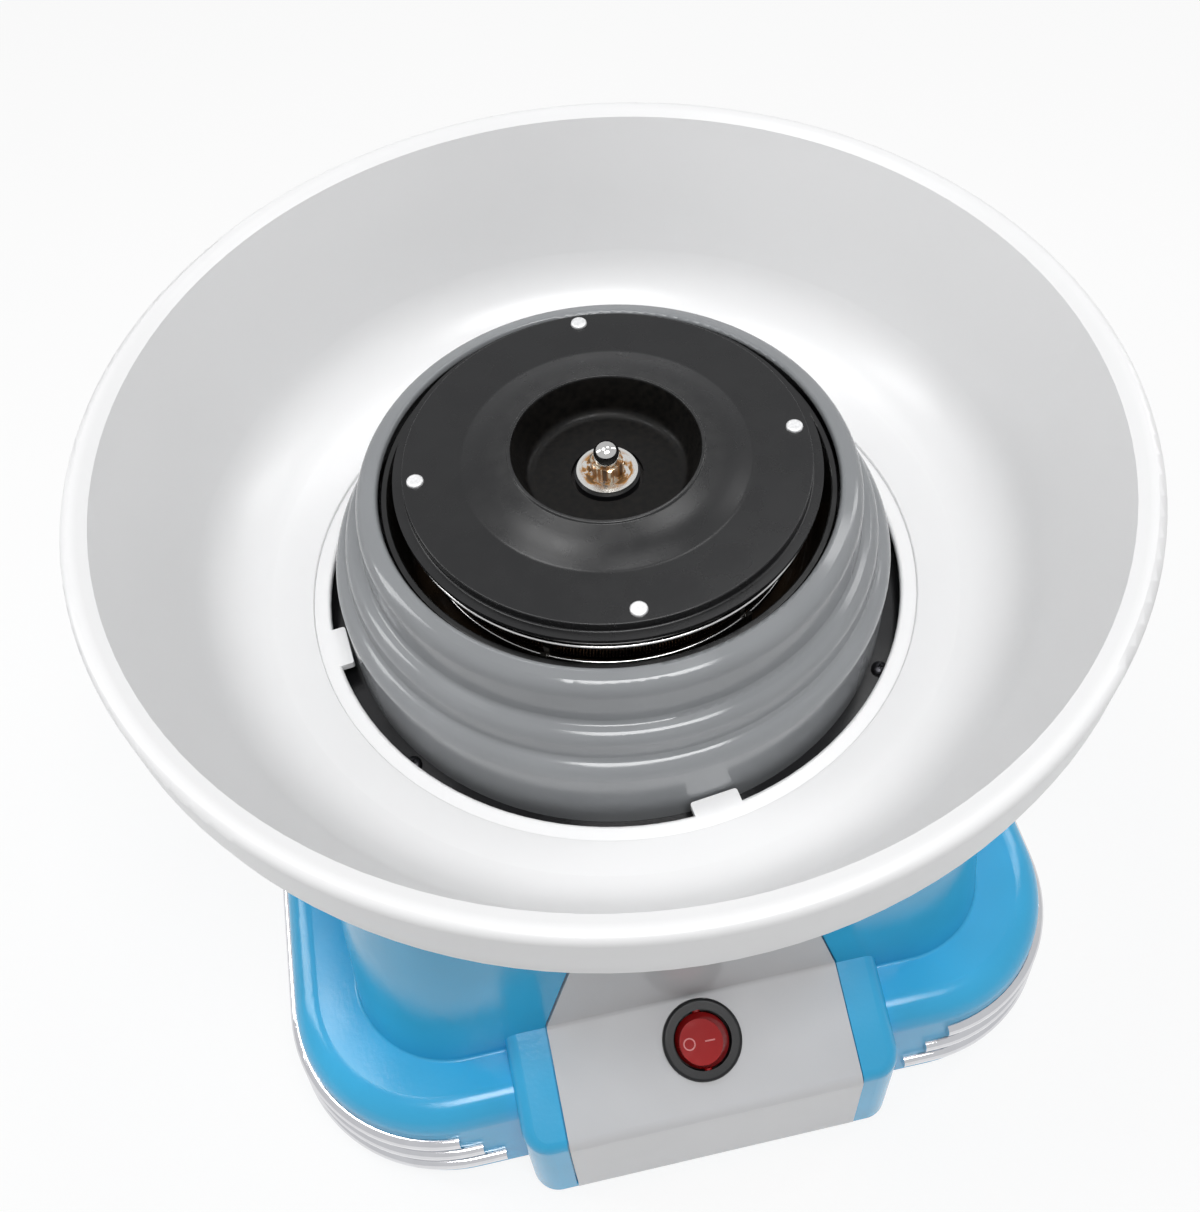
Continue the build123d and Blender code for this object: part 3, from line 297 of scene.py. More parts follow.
# %% The metals of this machine
CHROME = metal("trim_chrome", (0.70, 0.70, 0.72), 0.05, smudge=0.05, mottle=0.03, size=6, depth=0.01)
WIRE = metal("wire_bright", (0.72, 0.71, 0.70), 0.16)
DARK_SCREW = metal("screw_black", (0.05, 0.05, 0.055), 0.32)
SCREW = metal("screw_zinc", (0.60, 0.60, 0.58), 0.24)
BRASS = metal("blade_brass", (0.62, 0.43, 0.17), 0.25)
CAN = metal("motor_zinc", (0.50, 0.50, 0.51), 0.28, mottle=0.12, size=5)
RIVET = metal("rivet_aluminium", (0.72, 0.72, 0.72), 0.52, smudge=0.12, mottle=0.10, size=0.6, depth=0.03)
SPINDLE = turned_metal("spindle_steel", (0.66, 0.65, 0.63), 0.16, pitch=0.2, depth=0.001)
SPINDLE_DOME = metal(
    "dome_polished", (0.62, 0.61, 0.59), 0.06, smudge=0.06, mottle=0.05, size=1.5, depth=0.002
)
print("metals ready")

# %% [markdown]
# ## Zinc, pressed powder and dark sheet
# The motor's bracket is galvanised and shows the frosted flakes of its zinc.
# The bush and the beads on the terminals are powder that was pressed and
# fired, so they are dull and porous. Noise has no edges, and both flakes and
# pores do, so these finishes use Voronoi cells instead.

# %% Zinc flakes, bronze, ceramic and dark sheet
def zinc_flakes():
    """Galvanised sheet: frosted flakes a few millimetres across."""
    material, tree, shader, place = start_finish("bracket_zinc", Metallic=1.0)
    cells = add(tree, "TexVoronoi", Vector=place, Scale=1 / (4 * MM)).outputs
    by_cell = add(tree, "SeparateXYZ", Vector=cells["Color"]).outputs[0]
    flake = math_of(tree, "FRACT", math_of(tree, "MULTIPLY", by_cell, 3.0))
    dark, light = (0.40, 0.41, 0.42), (0.62, 0.63, 0.64)
    dress(
        tree, shader,
        Base_Color=shades(tree, flake, (0.0, dark), (1.0, light)),
        Roughness=between(tree, flake, 0.30, 0.48, 0, 1),
        Normal=relief(tree, cells["Distance"], 0.02),
    )
    return material


def sintered(name, colour, metallic):
    """Pressed and fired powder: even, dull and full of fine pores."""
    material, tree, shader, place = start_finish(name, Metallic=metallic)
    pores = add(tree, "TexVoronoi", Vector=place, Scale=1 / (0.25 * MM)).outputs["Distance"]
    dress(
        tree, shader,
        Base_Color=shades(tree, pores, (0.1, scaled(colour, 0.7)), (0.5, colour)),
        Roughness=between(tree, spots(tree, place, 2, 3), 0.42, 0.6),
        Normal=relief(tree, pores, 0.02),
    )
    return material


ZINC = zinc_flakes()
BRONZE = sintered("bush_bronze", (0.45, 0.30, 0.14), 1.0)
CERAMIC = sintered("bead_ceramic", (0.74, 0.71, 0.64), 0.0)
SHEET = metal("support_sheet", (0.20, 0.19, 0.17), 0.3, size=2)
print("zinc, bronze, ceramic and sheet ready")

# %% [markdown]
# ## Finishes that tell of use, and painted light on the head
# The black cap is satin with faint rings where it was pressed. The top of the
# lip of its cup is painted lighter as a painted highlight, and the cup inside
# the lip is painted darker as painted shade. Near the coil the enamel is brown,
# and the pan is dark inside and bright only at its rolled rim. Such marks could
# be painted by hand. Here each follows a rule: the height above the table or
# the distance from the spin axis, made ragged by noise.

# %% The cap
LIP_FOOT, LIP_TOP = 187.9 * MM, 189.6 * MM  # heights between which the painted highlight sets in


def cap_black():
    """Satin black with a painted highlight on the top of the crater lip."""
    material, tree, shader, place = start_finish("cap_black", Specular_IOR_Level=0.42)
    reach, _ = from_axis(tree, place)
    # Painted highlight: the colour turns lighter towards the top of the lip, broken up by noise.
    lip = between(tree, height_of(tree, place), 0.0, 1.0, LIP_FOOT, LIP_TOP)
    lip_highlight = math_of(tree, "MULTIPLY", lip, between(tree, spots(tree, place, 5, 4), 0.2, 1.0))
    black, highlight_black = (0.009, 0.009, 0.0095), (0.022, 0.022, 0.022)
    wave = relief(tree, turned_rings(tree, reach, 1.1), 0.0006)
    dress(
        tree, shader,
        Base_Color=shades(tree, lip_highlight, (0.0, black), (1.0, highlight_black)),
        Roughness=between(tree, spots(tree, place, 10, 5), 0.24, 0.31),
        Normal=relief(tree, spots(tree, place, 0.7, 2), 0.012, Normal=wave),
    )
    return material


CAP = cap_black()
print("cap ready")


# %% The cup, painted darker as shade
def cup_shade():
    """Cup painted darker as painted shade: dark, dull and a little pitted."""
    material, tree, shader, place = start_finish("cup_painted_shade", Specular_IOR_Level=0.16)
    shade_speckle = spots(tree, place, 1.6, 4)
    # Painted shade: near-black tones, darker than the cap, for the deep cup.
    black, brown = (0.0035, 0.0034, 0.0033), (0.007, 0.006, 0.005)
    dress(
        tree, shader,
        Base_Color=shades(tree, shade_speckle, (0.35, black), (0.7, brown)),
        Roughness=between(tree, shade_speckle, 0.30, 0.46),
        Normal=relief(tree, shade_speckle, 0.015),
    )
    return material


CUP_SHADE = cup_shade()
print("cup shade ready")

# %% The enamelled well
HAZE_FOOT, HAZE_TOP = 156.0 * MM, 169.0 * MM  # heights between which the haze fades


def enamel():
    """Glossy black enamel with a brown heat haze near the coil."""
    material, tree, shader, place = start_finish("well_enamel", Specular_IOR_Level=0.5)
    low_down = between(tree, height_of(tree, place), 1.0, 0.0, HAZE_FOOT, HAZE_TOP)
    haze = math_of(tree, "MULTIPLY", low_down, spots(tree, place, 8, 4))
    black, brown = (0.006, 0.006, 0.006), (0.030, 0.018, 0.010)
    dress(
        tree, shader,
        Base_Color=shades(tree, haze, (0.2, black), (0.8, brown)),
        Roughness=between(tree, spots(tree, place, 6, 4), 0.12, 0.26),
        Normal=relief(tree, spots(tree, place, 2.5, 2), 0.02),
    )
    return material


ENAMEL = enamel()
print("enamelled well ready")

# %% The pan, dark inside
RIM_START, RIM_END = 50.8 * MM, 52.0 * MM  # distances from the axis where it turns bright


def dark_pan():
    """Spun pan, dark inside up to its bright rolled rim."""
    material, tree, shader, place = start_finish("pan_dark_inside")
    reach, _ = from_axis(tree, place)
    waver = math_of(tree, "MULTIPLY", spots(tree, place, 3, 3), 1.5 * MM)
    # Dark within the rim's reach from the axis, bright metal beyond it, with a ragged edge.
    bright = between(tree, math_of(tree, "ADD", reach, waver), 0.0, 1.0, RIM_START, RIM_END)
    black, bright_metal = (0.010, 0.008, 0.007), (0.62, 0.61, 0.60)
    dress(
        tree, shader,
        Base_Color=shades(tree, bright, (0.0, black), (1.0, bright_metal)),
        Metallic=bright,
        Roughness=between(tree, bright, 0.55, 0.18, 0, 1),
        Normal=relief(tree, turned_rings(tree, reach, 0.5), 0.003),
    )
    return material


PAN = dark_pan()
print("dark pan ready")

# %% [markdown]
# The washer under the nut has caramel burnt on in streaks that run outwards,
# and the nut has rusted. Round spots would look like rust alone, so the noise
# is stretched along the radius: it reads the angle and the distance from the
# axis as its two coordinates, in place of X and Y.

# %% Burnt sugar on the washer and the nut
STAIN_FADE = 2.0


def burnt(name, bright_metal, stain, start, end, streaks=5.0, length=0.6, reach_of_stain=9.0):
    """Metal with brown stains drawn out along the radius, from the nut outwards."""
    material, tree, shader, place = start_finish(name)
    reach, angle = from_axis(tree, place)
    along = math_of(tree, "MULTIPLY", reach, length / MM)
    around = math_of(tree, "MULTIPLY", angle, streaks / math.pi)
    polar = add(tree, "CombineXYZ", X=around, Y=along).outputs[0]
    patch = add(tree, "TexNoise", Vector=polar, Scale=1.0, Detail=4.0).outputs[0]
    near = between(tree, reach, 1.0, 0.0, (reach_of_stain - STAIN_FADE) * MM, reach_of_stain * MM)
    cover = math_of(tree, "MULTIPLY", near, between(tree, patch, 0.0, 1.0, start, end))
    charred = scaled(stain, 0.25)
    dress(
        tree, shader,
        Base_Color=shades(tree, cover, (0.0, bright_metal), (0.55, stain), (1.0, charred)),
        Metallic=between(tree, cover, 1.0, 0.1, 0, 1),
        Roughness=between(tree, cover, 0.26, 0.5, 0, 1),
        Normal=relief(tree, patch, 0.05),
    )
    return material


WASHER = burnt(
    "washer_stained", (0.74, 0.73, 0.70), (0.42, 0.20, 0.05), 0.44, 0.58, reach_of_stain=7.6
)
NUT = burnt("nut_rusted", (0.58, 0.52, 0.42), (0.36, 0.15, 0.03), 0.42, 0.60, streaks=7, length=0.9)
print("washer and nut ready")

# %% [markdown]
# Resistance wire comes bright and turns dark when it first glows. The oxide
# isn't even: some turns keep a copper glint. A slow noise runs between both.

# %% Heat-tinted coil wire
def coil_wire():
    """Resistance wire: dark oxide with a copper glint."""
    material, tree, shader, place = start_finish("coil_oxide", Metallic=1.0)
    tone = spots(tree, place, 5, 3)
    dark, copper = (0.05, 0.040, 0.034), (0.26, 0.15, 0.09)
    dress(
        tree, shader,
        Base_Color=shades(tree, tone, (0.3, dark), (0.7, copper)),
        Roughness=between(tree, tone, 0.32, 0.5),
        Normal=relief(tree, spots(tree, place, 0.3, 2), 0.01),
    )
    return material


OXIDE = coil_wire()
print("coil wire ready")

# %% [markdown]
# ## Finishes on the solids
# The solids keep their shape, and each gets its finish in its material slot.
# This could be a line for each piece, but a table by finish shows at a glance
# which pieces share one, and the last line proves that none was forgotten.

# %% Give every solid its finish
SOLID_FINISHES = {
    BLUE: ["base_housing"],
    PANEL: ["control_panel"],
    CHROME: ["trim_strip_lower", "trim_strip_middle", "trim_strip_upper"],
    PLATE: ["bottom_plate"],
    RUBBER: ["rubber_feet"],
    SCREW: ["base_screws", "motor_screws", "bracket_screws"],
    BLACK: ["switch_body", "cord_gland", "clamp_disc", "shaft_collar", "motor_end_cap"],
    RED: ["rocker"],
    BRASS: ["switch_blades"],
    TRAY: ["neck_tray"],
    DARK_SCREW: ["tray_screws"],
    RING: ["guard_ring"],
    WHITE: ["bowl"],
    ENAMEL: ["heater_well"],
    OXIDE: ["heater_coil"],
    WIRE: ["wire_guard", "heater_terminals", "thermal_cutout"],
    SHEET: ["coil_supports"],
    CERAMIC: ["terminal_insulators"],
    SPINDLE: ["drive_shaft"],
    BRONZE: ["shaft_bush"],
    WASHER: ["head_washer"],
    NUT: ["head_nut"],
    CAP: ["head_cover"],
    PAN: ["sugar_pan"],
    RIVET: ["head_rivets"],
    CAN: ["motor_can"],
    ZINC: ["motor_bracket"],
    BLOCK: ["terminal_block"],
}
for finish, names in SOLID_FINISHES.items():
    for name in names:
        mesh = frame["nodes"][name].data
        mesh.materials.clear()
        mesh.materials.append(finish)
dressed = {name for names in SOLID_FINISHES.values() for name in names}
print("bare solids:", sorted(set(frame["nodes"]) - dressed))

# %% [markdown]
# ## Helpers for Geometry Nodes
# What repeats or follows a rule is grown by a node tree. Loops that place
# vertices could do it as well, but a tree has named sizes that stay open to
# change. It is built here, run once through a modifier, and the plain mesh
# that comes out of it is kept.

# %% Build and run a tree
def link(data, name):
    """Put a mesh, lamp or camera in the scene as an object."""
    thing = bpy.data.objects.new(name, data)
    bpy.context.scene.collection.objects.link(thing)
    return thing


def new_tree(name, sizes):
    """Empty tree with named inputs; returns it and its input sockets."""
    tree = bpy.data.node_groups.new(name, "GeometryNodeTree")
    tree.interface.new_socket("Geometry", in_out="OUTPUT", socket_type="NodeSocketGeometry")
    for label, (kind, value) in sizes.items():
        socket = tree.interface.new_socket(label, in_out="INPUT", socket_type="NodeSocket" + kind)
        if kind != "Object":
            socket.default_value = value
    entry = tree.nodes.new("NodeGroupInput")
    return tree, entry.outputs


def close_tree(tree, geometry, finish):
    """End a tree in real geometry with its finish."""
    real = put(tree, "GeometryNodeRealizeInstances", Geometry=geometry).outputs[0]
    dressed_mesh = put(tree, "GeometryNodeSetMaterial", Geometry=real, Material=finish)
    tree.links.new(dressed_mesh.outputs[0], tree.nodes.new("NodeGroupOutput").inputs[0])


def grow(name, tree, body, values=None):
    """Run a tree once and keep its mesh as a piece that rides on a body."""
    seed = link(bpy.data.meshes.new(name + "_seed"), name + "_seed")
    modifier = seed.modifiers.new("grow", "NODES")
    modifier.node_group = tree
    for item in tree.interface.items_tree:
        if item.in_out == "INPUT" and item.name in (values or {}):
            modifier[item.identifier] = values[item.name]
    graph = bpy.context.evaluated_depsgraph_get()
    mesh = bpy.data.meshes.new_from_object(seed.evaluated_get(graph))
    bpy.data.objects.remove(seed)
    mesh.name = name
    piece = link(mesh, name)
    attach(piece, body)
    print(f"{name}: {len(mesh.polygons)} faces")
    return piece


print("tree helpers ready")

# %% [markdown]
# ## The heating coil
# The heater is a long spring of resistance wire that is bent into a ring.
# A Screw modifier makes a straight spring, which would then have to be bent.
# A tree can place each point at once, since the line is a helix whose axis
# runs round the head: one angle takes a point round the head, and a second,
# much faster one takes it round the coil. Both grow with the point's number.

# %% Wind the coil
def coil_tree():
    """Spring bent into an open ring."""
    tree, size = new_tree("wound coil", {
        "Ring Radius": ("Float", 46.5 * MM),
        "Coil Radius": ("Float", 1.75 * MM),
        "Wire Radius": ("Float", 0.23 * MM),
        "Height": ("Float", 167.0 * MM),
        "Turns": ("Int", 360),
        "Gap": ("Float", math.radians(9.0)),
        "Steps Per Turn": ("Int", 10),
    })
    count = math_of(tree, "MULTIPLY", size["Turns"], size["Steps Per Turn"])
    line = put(tree, "GeometryNodeMeshLine", Count=count).outputs[0]
    index = put(tree, "GeometryNodeInputIndex").outputs[0]
    share = math_of(tree, "DIVIDE", index, count)
    sweep = math_of(tree, "SUBTRACT", math.tau, size["Gap"])
    start = math_of(tree, "ADD", math_of(tree, "DIVIDE", size["Gap"], 2.0), math.pi / 2)
    round_head = math_of(tree, "ADD", math_of(tree, "MULTIPLY", share, sweep), start)
    turns_done = math_of(tree, "MULTIPLY", share, size["Turns"])
    round_coil = math_of(tree, "MULTIPLY", turns_done, math.tau)
    outward = math_of(tree, "MULTIPLY", size["Coil Radius"], math_of(tree, "COSINE", round_coil))
    upward = math_of(tree, "MULTIPLY", size["Coil Radius"], math_of(tree, "SINE", round_coil))
    reach = math_of(tree, "ADD", size["Ring Radius"], outward)
    place = add(
        tree, "CombineXYZ",
        X=math_of(tree, "MULTIPLY", reach, math_of(tree, "COSINE", round_head)),
        Y=math_of(tree, "MULTIPLY", reach, math_of(tree, "SINE", round_head)),
        Z=math_of(tree, "ADD", size["Height"], upward),
    ).outputs[0]
    helix = put(tree, "GeometryNodeSetPosition", Geometry=line, Position=place).outputs[0]
    curve = put(tree, "GeometryNodeMeshToCurve", Mesh=helix).outputs[0]
    circle = "GeometryNodeCurvePrimitiveCircle"
    section = put(tree, circle, Resolution=5, Radius=size["Wire Radius"]).outputs[0]
    ends = {"Profile_Curve": section, "Fill_Caps": True}
    wire = put(tree, "GeometryNodeCurveToMesh", Curve=curve, **ends)
    close_tree(tree, wire.outputs[0], OXIDE)
    return tree


coil = grow("coil_winding", coil_tree(), "base")
coil.data.shade_smooth()
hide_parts("heater_coil")

# %% [markdown]
# ## Cross-head screws
# Each screw is turned, threaded and punched with a cross. A helix would give
# the exact thread, but on a screw this small rings look the same and cost
# little. So one screw is a profile spun round its axis, with a cross cut out
# of its head, and a tree sets it out in rows, each turned by chance.

# %% Spin a profile
def mesh_of(bm, name):
    """Turn a finished bmesh into mesh data."""
    mesh = bpy.data.meshes.new(name)
    bm.to_mesh(mesh)
    bm.free()
    return mesh


def spun(name, profile, steps):
    """Mesh of a profile of (radius, height) in millimetres, spun round Z."""
    bm = bmesh.new()
    line = [bm.verts.new((r * MM, 0, z * MM)) for r, z in profile]
    edges = [bm.edges.new(pair) for pair in zip(line, line[1:])]
    round_z = {"cent": (0, 0, 0), "axis": (0, 0, 1), "angle": math.tau, "use_duplicate": False}
    bmesh.ops.spin(bm, geom=line + edges, steps=steps, **round_z)
    bmesh.ops.remove_doubles(bm, verts=bm.verts, dist=1e-6)
    bmesh.ops.recalc_face_normals(bm, faces=bm.faces)
    return mesh_of(bm, name)


print("profiles can be spun")

# %% The punch for the cross
CROSS_WIDTH = 0.42  # share of its reach
CROSS_TIP = (0.45, 0.7)  # how much narrower each bar is at the bottom


def cross_punch(reach, depth, top):
    """Tapered cross whose upper end is above a screw's head."""
    bm = bmesh.new()
    for turn in (0, math.pi / 2):
        bar = bmesh.ops.create_cube(bm, size=1.0)["verts"]
        size = (2 * reach * MM, CROSS_WIDTH * reach * MM, 2 * depth * MM)
        bmesh.ops.scale(bm, verts=bar, vec=size)
        for vertex in bar:
            if vertex.co.z < 0:
                vertex.co.x *= CROSS_TIP[0]
                vertex.co.y *= CROSS_TIP[1]
        bmesh.ops.rotate(bm, verts=bar, matrix=Matrix.Rotation(turn, 3, "Z"))
    bmesh.ops.translate(bm, verts=bm.verts, vec=(0, 0, top * MM))
    return mesh_of(bm, "punch")


print("crosses can be punched")

# %% The profile of a screw
DOME_ANGLES = (0, 0.45, 0.85, 1.2, 1.45)
DOME_SHARE, EDGE_SHARE = 0.65, 0.30  # of the head's height
THREAD_PITCH, THREAD_START, THREAD_ROOT = 1.1, -1.0, 0.86
POINT_LENGTH = 0.6


def screw_profile(head_r, head_h, shank_r, shank_l):
    """Pan head above zero, threaded shank and point below it."""
    profile = []
    for angle in DOME_ANGLES:
        rise = 1 - DOME_SHARE + DOME_SHARE * math.cos(angle)
        profile.append((head_r * math.sin(angle), head_h * rise))
    profile += [(head_r, head_h * EDGE_SHARE), (head_r, 0.0), (shank_r, 0.0)]
    z = THREAD_START
    while z > -(shank_l - 2 * THREAD_PITCH):
        profile += [(shank_r * THREAD_ROOT, z), (shank_r, z - THREAD_PITCH / 2)]
        z -= THREAD_PITCH
    return profile + [(shank_r / 2, -shank_l + POINT_LENGTH), (0.0, -shank_l)]


print("points of a screw's profile:", len(screw_profile(3.0, 1.8, 1.5, 10.0)))

# %% Make one screw
SCREW_SIDES = 24
CROSS_SHARE = 0.55  # of the head's radius and height


def make_screw(head_r, head_h, shank_r, shank_l):
    """One cross-head screw as a mesh object, head up, its seat at zero."""
    profile = screw_profile(head_r, head_h, shank_r, shank_l)
    blank = link(spun("screw", profile, SCREW_SIDES), "screw")
    punch = link(cross_punch(head_r * CROSS_SHARE, head_h * CROSS_SHARE, head_h), "punch")
    cut = blank.modifiers.new("cross", "BOOLEAN")
    cut.operation = "DIFFERENCE"
    cut.solver = "EXACT"
    cut.use_self = True
    cut.object = punch
    graph = bpy.context.evaluated_depsgraph_get()
    mesh = bpy.data.meshes.new_from_object(blank.evaluated_get(graph))
    bpy.data.objects.remove(blank)
    bpy.data.objects.remove(punch)
    return link(mesh, "screw")


print("one screw can be made")


# %% Set screws out in rows
def row_tree(finish):
    """One screw at both ends of one or two rows."""
    tree, size = new_tree("screw rows", {
        "Screw": ("Object", None),
        "Reach X": ("Float", 0.0),
        "Reach Y": ("Float", 0.0),
        "Middle Y": ("Float", 0.0),
        "Height": ("Float", 0.0),
        "Rows": ("Int", 2),
        "Head Down": ("Float", 0.0),
        "Seed": ("Int", 3),
    })
    left = math_of(tree, "MULTIPLY", size["Reach X"], -1.0)
    begin = add(tree, "CombineXYZ", X=left).outputs[0]
    step = add(tree, "CombineXYZ", X=math_of(tree, "MULTIPLY", size["Reach X"], 2.0)).outputs[0]
    nearest = math_of(tree, "SUBTRACT", size["Middle Y"], size["Reach Y"])
    front = add(tree, "CombineXYZ", Y=nearest, Z=size["Height"]).outputs[0]
    pace = add(tree, "CombineXYZ", Y=math_of(tree, "MULTIPLY", size["Reach Y"], 2.0)).outputs[0]
    line, instances = "GeometryNodeMeshLine", "GeometryNodeInstanceOnPoints"
    across = put(tree, line, Count=2, Start_Location=begin, Offset=step).outputs[0]
    rows = put(tree, line, Count=size["Rows"], Start_Location=front, Offset=pace).outputs[0]
    grid = put(tree, instances, Points=rows, Instance=across).outputs[0]
    points = put(tree, "GeometryNodeRealizeInstances", Geometry=grid).outputs[0]
    chance = put(tree, "FunctionNodeRandomValue", {"data_type": "FLOAT"}, Seed=size["Seed"]).outputs[1]
    whole_turn = math_of(tree, "MULTIPLY", chance, math.tau)
    angles = add(tree, "CombineXYZ", X=size["Head Down"], Z=whole_turn).outputs[0]
    spin = put(tree, "FunctionNodeEulerToRotation", Euler=angles).outputs[0]
    screw = put(tree, "GeometryNodeObjectInfo", Object=size["Screw"]).outputs["Geometry"]
    placed = put(tree, instances, Points=points, Instance=screw, Rotation=spin).outputs[0]
    close_tree(tree, placed, finish)
    return tree


print("rows of screws can be set out")

# %% [markdown]
# The machine has four sets of screws: in the tray, under the base, on the
# motor and on its bracket. Their places could be typed in. They are read from
# the solids that they stand for instead, so the rows can't drift from their
# holes: the solid's outermost corner less the head's radius is the row's reach.

# %% Place the four sets of screws
SHANK_R = 1.5


def screw_set(name, node, finish, slot, head_r, head_h, head_up, rows):
    """Detailed screws in place of a node of plain ones."""
    low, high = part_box(node)
    length = (high.z - low.z) / MM - head_h
    screw = make_screw(head_r, head_h, SHANK_R, length)
    piece = grow(name, row_tree(finish), "base", {
        "Screw": screw,
        "Reach X": (high.x - low.x) / 2 - head_r * MM,
        "Reach Y": (high.y - low.y) / 2 - head_r * MM,
        "Middle Y": (high.y + low.y) / 2,
        "Height": high.z - head_h * MM if head_up else low.z + head_h * MM,
        "Rows": rows,
        "Head Down": 0.0 if head_up else math.pi,
    })
    bpy.data.objects.remove(screw)
    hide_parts(node)


# name, node, finish, slot, head's radius and height, head up, rows
SCREW_SETS = [
    ("tray_screw_set", "tray_screws", DARK_SCREW, "dark_steel", 2.2, 1.7, True, 2),
    ("base_screw_set", "base_screws", SCREW, "screw_steel", 3.2, 1.6, False, 2),
    ("motor_screw_set", "motor_screws", SCREW, "screw_steel", 2.8, 1.8, True, 1),
    ("bracket_screw_set", "bracket_screws", SCREW, "screw_steel", 2.8, 1.8, False, 2),
]
for screws in SCREW_SETS:
    screw_set(*screws)

# %% [markdown]
# ## The pressed cap and the end of the spindle
# The cap is pressed from one sheet, so it is round about the spin axis: a
# narrow flange, a flat, a low cone, and a sharp lip round a deep cup that
# takes the sugar. Lofting or sculpting could give this form, but a section
# spun once round is exact: it is drawn as a line whose corners are rounded,
# and offset by the thickness of the sheet. The cup has steep sides and a
# nearly level floor, which is why it looks black from above. The spindle
# ends in a polished dome.

# %% Round the corners of a section
BEND_STEPS = 6
HOLD = 0.12  # how far past its rounding each corner is held


def bend(points, rounds):
    """Line through points with rounded corners, each held by a close point on both sides."""
    line = [points[0]]
    for before, corner, after, cut in zip(points, points[1:], points[2:], rounds):
        before, corner, after = Vector(before), Vector(corner), Vector(after)
        back_way, on_way = (before - corner).normalized(), (after - corner).normalized()
        line.append(tuple(corner + back_way * (cut + HOLD)))
        for i in range(BEND_STEPS + 1):
            t = i / BEND_STEPS
            line.append(tuple(corner + back_way * cut * (1 - t) ** 2 + on_way * cut * t ** 2))
        line.append(tuple(corner + on_way * (cut + HOLD)))
    return line + [points[-1]]


def under_side(line, thickness):
    """The same line moved to its right by the thickness of the sheet."""
    moved = []
    for i, point in enumerate(line):
        run = Vector(line[min(i + 1, len(line) - 1)]) - Vector(line[max(i - 1, 0)])
        run.normalize()
        moved.append((point[0] + run.y * thickness, point[1] - run.x * thickness))
    return moved


print("sections can be bent and offset")

# %% Spin a piece of the head
SHARP = math.radians(35)


def spun_piece(name, profile, finish, steps):
    """Spun mesh that rides on the spinning head."""
    piece = link(spun(name, profile, steps), name)
    piece.data.materials.append(finish)
    piece.data.shade_smooth()
    piece.data.set_sharp_from_angle(angle=SHARP)
    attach(piece, "spinner")
    print(f"{name}: {len(piece.data.polygons)} faces")
    return piece


print("pieces ride on the spinner")

# %% Press the cap
FLAT_RISE = 8.2  # from the bottom of the plain cap to its flat
CAP_SHEET = 1.1  # thickness
CUP_EDGE = 24.1  # radius inside which the cap gets its painted shade
CAP_STEPS = 192
CAP_LINE = [  # radius, height above the flat, rounding of the corner, in millimetres
    (9.4, -7.4, None),   # hole in the cup's floor
    (20.9, -7.1, 2.2),   # foot of the cup's wall
    (24.0, 3.0, 0.15),   # lip
    (24.3, 3.7, 0.20),
    (25.0, 3.6, 0.20),
    (25.3, 3.2, 0.12),
    (31.5, 2.0, 2.6),    # cone
    (37.2, 0.0, 0.5),    # flat
    (52.2, 0.0, 0.35),
    (52.3, -2.6, 0.5),   # step down to the flange
    (55.0, -2.6, None),  # edge of the flange
]


def pressed_cap():
    """Flange, flat, cone, lip and cup, at the height of the plain cap."""
    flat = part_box("head_cover")[0].z / MM + FLAT_RISE
    top = bend([(r, flat + rise) for r, rise, _ in CAP_LINE], [cut for _, _, cut in CAP_LINE[1:-1]])
    outline = top + under_side(top, CAP_SHEET)[::-1]
    cap = spun_piece("pressed_cap", outline + outline[:1], CAP, CAP_STEPS)
    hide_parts("head_cover")
    # Painted shade: faces inside the cup's edge get the darker finish.
    cap.data.materials.append(CUP_SHADE)
    for face in cap.data.polygons:
        if face.center.xy.length < CUP_EDGE * MM:
            face.material_index = 1


pressed_cap()

# %% [markdown]
# The pan's edge is rolled round a wire, which keeps it stiff and smooth, and
# shows as a bright line under the cap. A bevel on the solid would be hard to
# place there, so the bead is a small circle spun round the axis. The end of
# the spindle is an arc over a short straight neck, spun in the same way.

# %% Roll the pan's rim and dome the spindle
BEAD_REACH, BEAD_R, BEAD_DROP = 53.7, 0.60, 0.6
BEAD_STEPS, BEAD_SIDES = 14, 160
DOME_R, DOME_H = 3.3, 2.7
DOME_STEPS, DOME_SIDES = 10, 48
NECK, NECK_CHAMFER = 2.4, 0.25


def rolled_rim():
    """Bright wire edge rolled round the pan below the cap's flange."""
    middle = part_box("sugar_pan")[1].z / MM - BEAD_DROP
    circle = []
    for i in range(BEAD_STEPS + 1):
        angle = i * math.tau / BEAD_STEPS
        circle.append((BEAD_REACH + BEAD_R * math.cos(angle), middle + BEAD_R * math.sin(angle)))
    spun_piece("rolled_rim", circle, WIRE, BEAD_SIDES)


def spindle_dome():
    """Polished dome over a short neck."""
    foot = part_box("shaft_collar")[0].z / MM
    outline = [(0.0, foot), (DOME_R - NECK_CHAMFER, foot), (DOME_R, foot + NECK_CHAMFER)]
    for i in range(DOME_STEPS + 1):
        angle = i * math.pi / (2 * DOME_STEPS)
        outline.append((DOME_R * math.cos(angle), foot + NECK + DOME_H * math.sin(angle)))
    dome = spun_piece("spindle_dome", outline, SPINDLE_DOME, DOME_SIDES)
    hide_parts("shaft_collar")


rolled_rim()
spindle_dome()

# %% [markdown]
# ## Marks on the rocker
# The rocker carries the usual ring for off and bar for on, printed in a pale
# pink that the red shines through. A pattern in the rocker's own material
# would blur at its edges. So each mark is a thin strip: it starts flat, and
# every point of it is dropped on the rocker's hollow face along the switch's
# axis, so that the print follows the hollow. The joint gives that axis.

